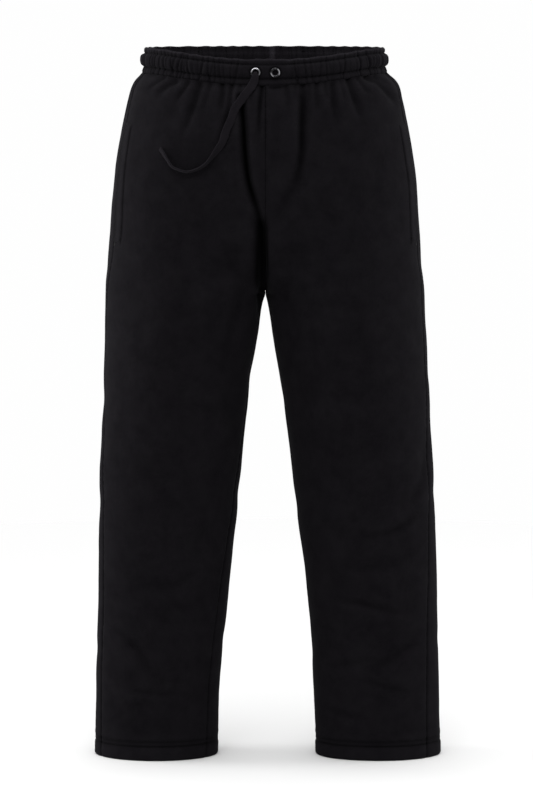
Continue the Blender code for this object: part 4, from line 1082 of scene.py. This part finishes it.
def make_thread_material():
    """Black sewing thread, a little smoother than the cloth, with its twist in the bump."""
    material, tree, shader = new_material("thread", Roughness=0.70, Specular_IOR_Level=0.06)
    where = node(tree, "ShaderNodeTexCoord")
    twist = node(tree, "ShaderNodeTexWave", in1=2600.0, in2=2.0)
    twist.bands_direction = "DIAGONAL"
    tree.links.new(where.outputs["Object"], twist.inputs["Vector"])
    colour = ramp_between(tree, twist.outputs[0], (0.0010, 0.0009, 0.0012), (0.0026, 0.0024, 0.0029))
    tree.links.new(colour, shader.inputs["Base Color"])
    bump = node(tree, "ShaderNodeBump")
    bump.inputs["Distance"].default_value = 0.0001
    tree.links.new(twist.outputs[1], bump.inputs["Height"])
    tree.links.new(bump.outputs[0], shader.inputs["Normal"])
    return material


def make_metal_material():
    """Polished dark plating with faint rub marks, and painted highlights where the tone is high."""
    material, tree, shader = new_material("dark_nickel", Metallic=1.0)
    where = node(tree, "ShaderNodeTexCoord")
    marks = node(tree, "ShaderNodeTexNoise", in2=700.0, in3=4.0, in4=0.6)
    tree.links.new(where.outputs["Object"], marks.inputs["Vector"])
    rough = maths(tree, "ADD", maths(tree, "MULTIPLY", marks.outputs[0], 0.08), 0.18)
    tree.links.new(rough, shader.inputs["Roughness"])
    colour = ramp_between(tree, marks.outputs[0], (0.012, 0.012, 0.013), (0.022, 0.022, 0.023))
    tree.links.new(with_tone(tree, colour), shader.inputs["Base Color"])
    return material


# ---- stage ----------------------------------------------------------------------------------------
SURROUND, SOFTBOX_SPREAD = 0.993, 80.0
FLOOR_GREY, FLOOR_REACH, FLOOR_SIDES, FLOOR_CLEAR = 0.552, 2.2, 96, 0.0004
# name, kind, place, energy, and the sun's angle or the softbox's two sides
LIGHTS = (
    ("top", "SUN", (-0.10, -0.40, 3.0), 2.40, math.radians(60)),
    ("strip", "AREA", (-0.3, -2.3, 1.7), 5.5, (2.0, 0.10)),
    ("left_softbox", "AREA", (-2.4, 0.30, -0.35), 17.0, (1.0, 1.6)),
    ("right_softbox", "AREA", (2.4, 0.30, -0.35), 9.0, (1.0, 1.6)),
)


def make_camera():
    camera = bpy.data.objects.new("camera", bpy.data.cameras.new("camera"))
    camera.data.lens, camera.data.sensor_width = CAMERA_LENS, SENSOR
    camera.location = CAMERA_PLACE
    camera.rotation_euler = (math.radians(90 - CAMERA_TILT), 0.0, 0.0)
    bpy.context.scene.collection.objects.link(camera)
    bpy.context.scene.camera = camera


def make_floor():
    material = new_material("pale_floor", Base_Color=(FLOOR_GREY, FLOOR_GREY, FLOOR_GREY, 1.0),
                            Roughness=0.9, Specular_IOR_Level=0.0)[0]
    z = CAD_BOX[0][2] - FLOOR_CLEAR
    angles = np.linspace(0.0, 2 * math.pi, FLOOR_SIDES + 1)[:-1]
    points = np.stack([FLOOR_REACH * np.cos(angles), FLOOR_REACH * np.sin(angles), np.full(FLOOR_SIDES, z)],
                      axis=-1)
    floor = add_mesh("floor", points, [np.arange(FLOOR_SIDES)[None]], material)


def make_light(name, kind, place, energy, size):
    """A white light that points at the garment: the sun at its waist, the others at its middle."""
    light = bpy.data.lights.new(name, kind)
    light.energy, light.color = energy, (1.0, 1.0, 1.0)
    if kind == "SUN":
        target = (0, 0, 0)
        light.angle = size
    else:
        target = (0, 0, -0.45)
        light.shape, light.spread = "RECTANGLE", math.radians(SOFTBOX_SPREAD)
        light.size, light.size_y = size
    lamp = bpy.data.objects.new(name, light)
    lamp.location = place
    lamp.rotation_euler = (Vector(target) - Vector(place)).to_track_quat("-Z", "Y").to_euler()
    lamp.visible_camera = False
    bpy.context.scene.collection.objects.link(lamp)


def make_studio():
    """White surroundings, a broad light above, a strip light in front and a softbox at each side."""
    world = bpy.data.worlds.new("studio")
    bpy.context.scene.world = world
    world.use_nodes = True
    surround = world.node_tree.nodes["Background"]
    surround.inputs["Color"].default_value = (1.0, 1.0, 1.0, 1.0)
    surround.inputs["Strength"].default_value = SURROUND
    for light in LIGHTS:
        make_light(*light)
    view = bpy.context.scene.view_settings
    view.view_transform, view.look, view.exposure, view.gamma = "Standard", "None", 0.0, 1.0


# ---- the whole scene ------------------------------------------------------------------------------
def main():
    make_camera()
    cord_cloth = make_cloth_material("cord_fleece", (0.0044, 0.0039, 0.0049), (0.0092, 0.0082, 0.0098))
    make_drawcord(cord_cloth)
    fleece = make_cloth_material("fleece", (0.0025, 0.0022, 0.0028), (0.0069, 0.0063, 0.0074))
    jersey = make_cloth_material("jersey", (0.0030, 0.0028, 0.0033), (0.0050, 0.0047, 0.0054),
                                 wale=0.0008, course=0.0007)
    metal = make_metal_material()
    thread = make_thread_material()
    panels = {(face, side): make_panel(side, face, fleece) for side in SIDES for face in ("front", "back")}
    trims = {key: [] for key in panels}
    levels = panels["front", "left"]["levels"]
    body, legs = np.flatnonzero(levels < CROTCH_LEVEL), np.flatnonzero(levels >= CROTCH_LEVEL - 0.002)
    for face in ("front", "back"):
        trims[face, "left"].append(make_seam_strip(
            f"allowance_{face}_middle", panels[face, "left"], 0, panels[face, "right"], 0, body, fleece))
    for side in SIDES:
        front, back = panels["front", side], panels["back", side]
        for name, edge, rows in (("side", -1, np.arange(len(levels))), ("inseam", 0, legs)):
            trims["front", side].append(make_seam_strip(
                f"allowance_{name}_{side}", front, edge, back, edge, rows, fleece))
        runs = mouth_runs(side)
        trims["front", side].append(make_stitches(f"pocket_stitches_{side}", runs, thread))
    for (face, side), panel in panels.items():
        rows = [int(np.abs(levels - row).argmin()) for row in HEM_ROWS]
        runs = [(panel["outer"][row], panel["normals"][row], *HEM_STITCH) for row in rows]
        trims[face, side].append(make_stitches(f"hem_stitches_{face}_{side}", runs, thread))
        if face == "front":
            bag = make_pocket_bag(side, panel, jersey)
    band, band_runs = make_waistband(fleece)
    stitches = make_stitches("band_stitches", [(*run, *BAND_STITCH) for run in band_runs], thread)
    make_band_allowance(fleece)
    for side in SIDES:
        make_eyelet(side, metal)
    make_floor()
    make_studio()


main()
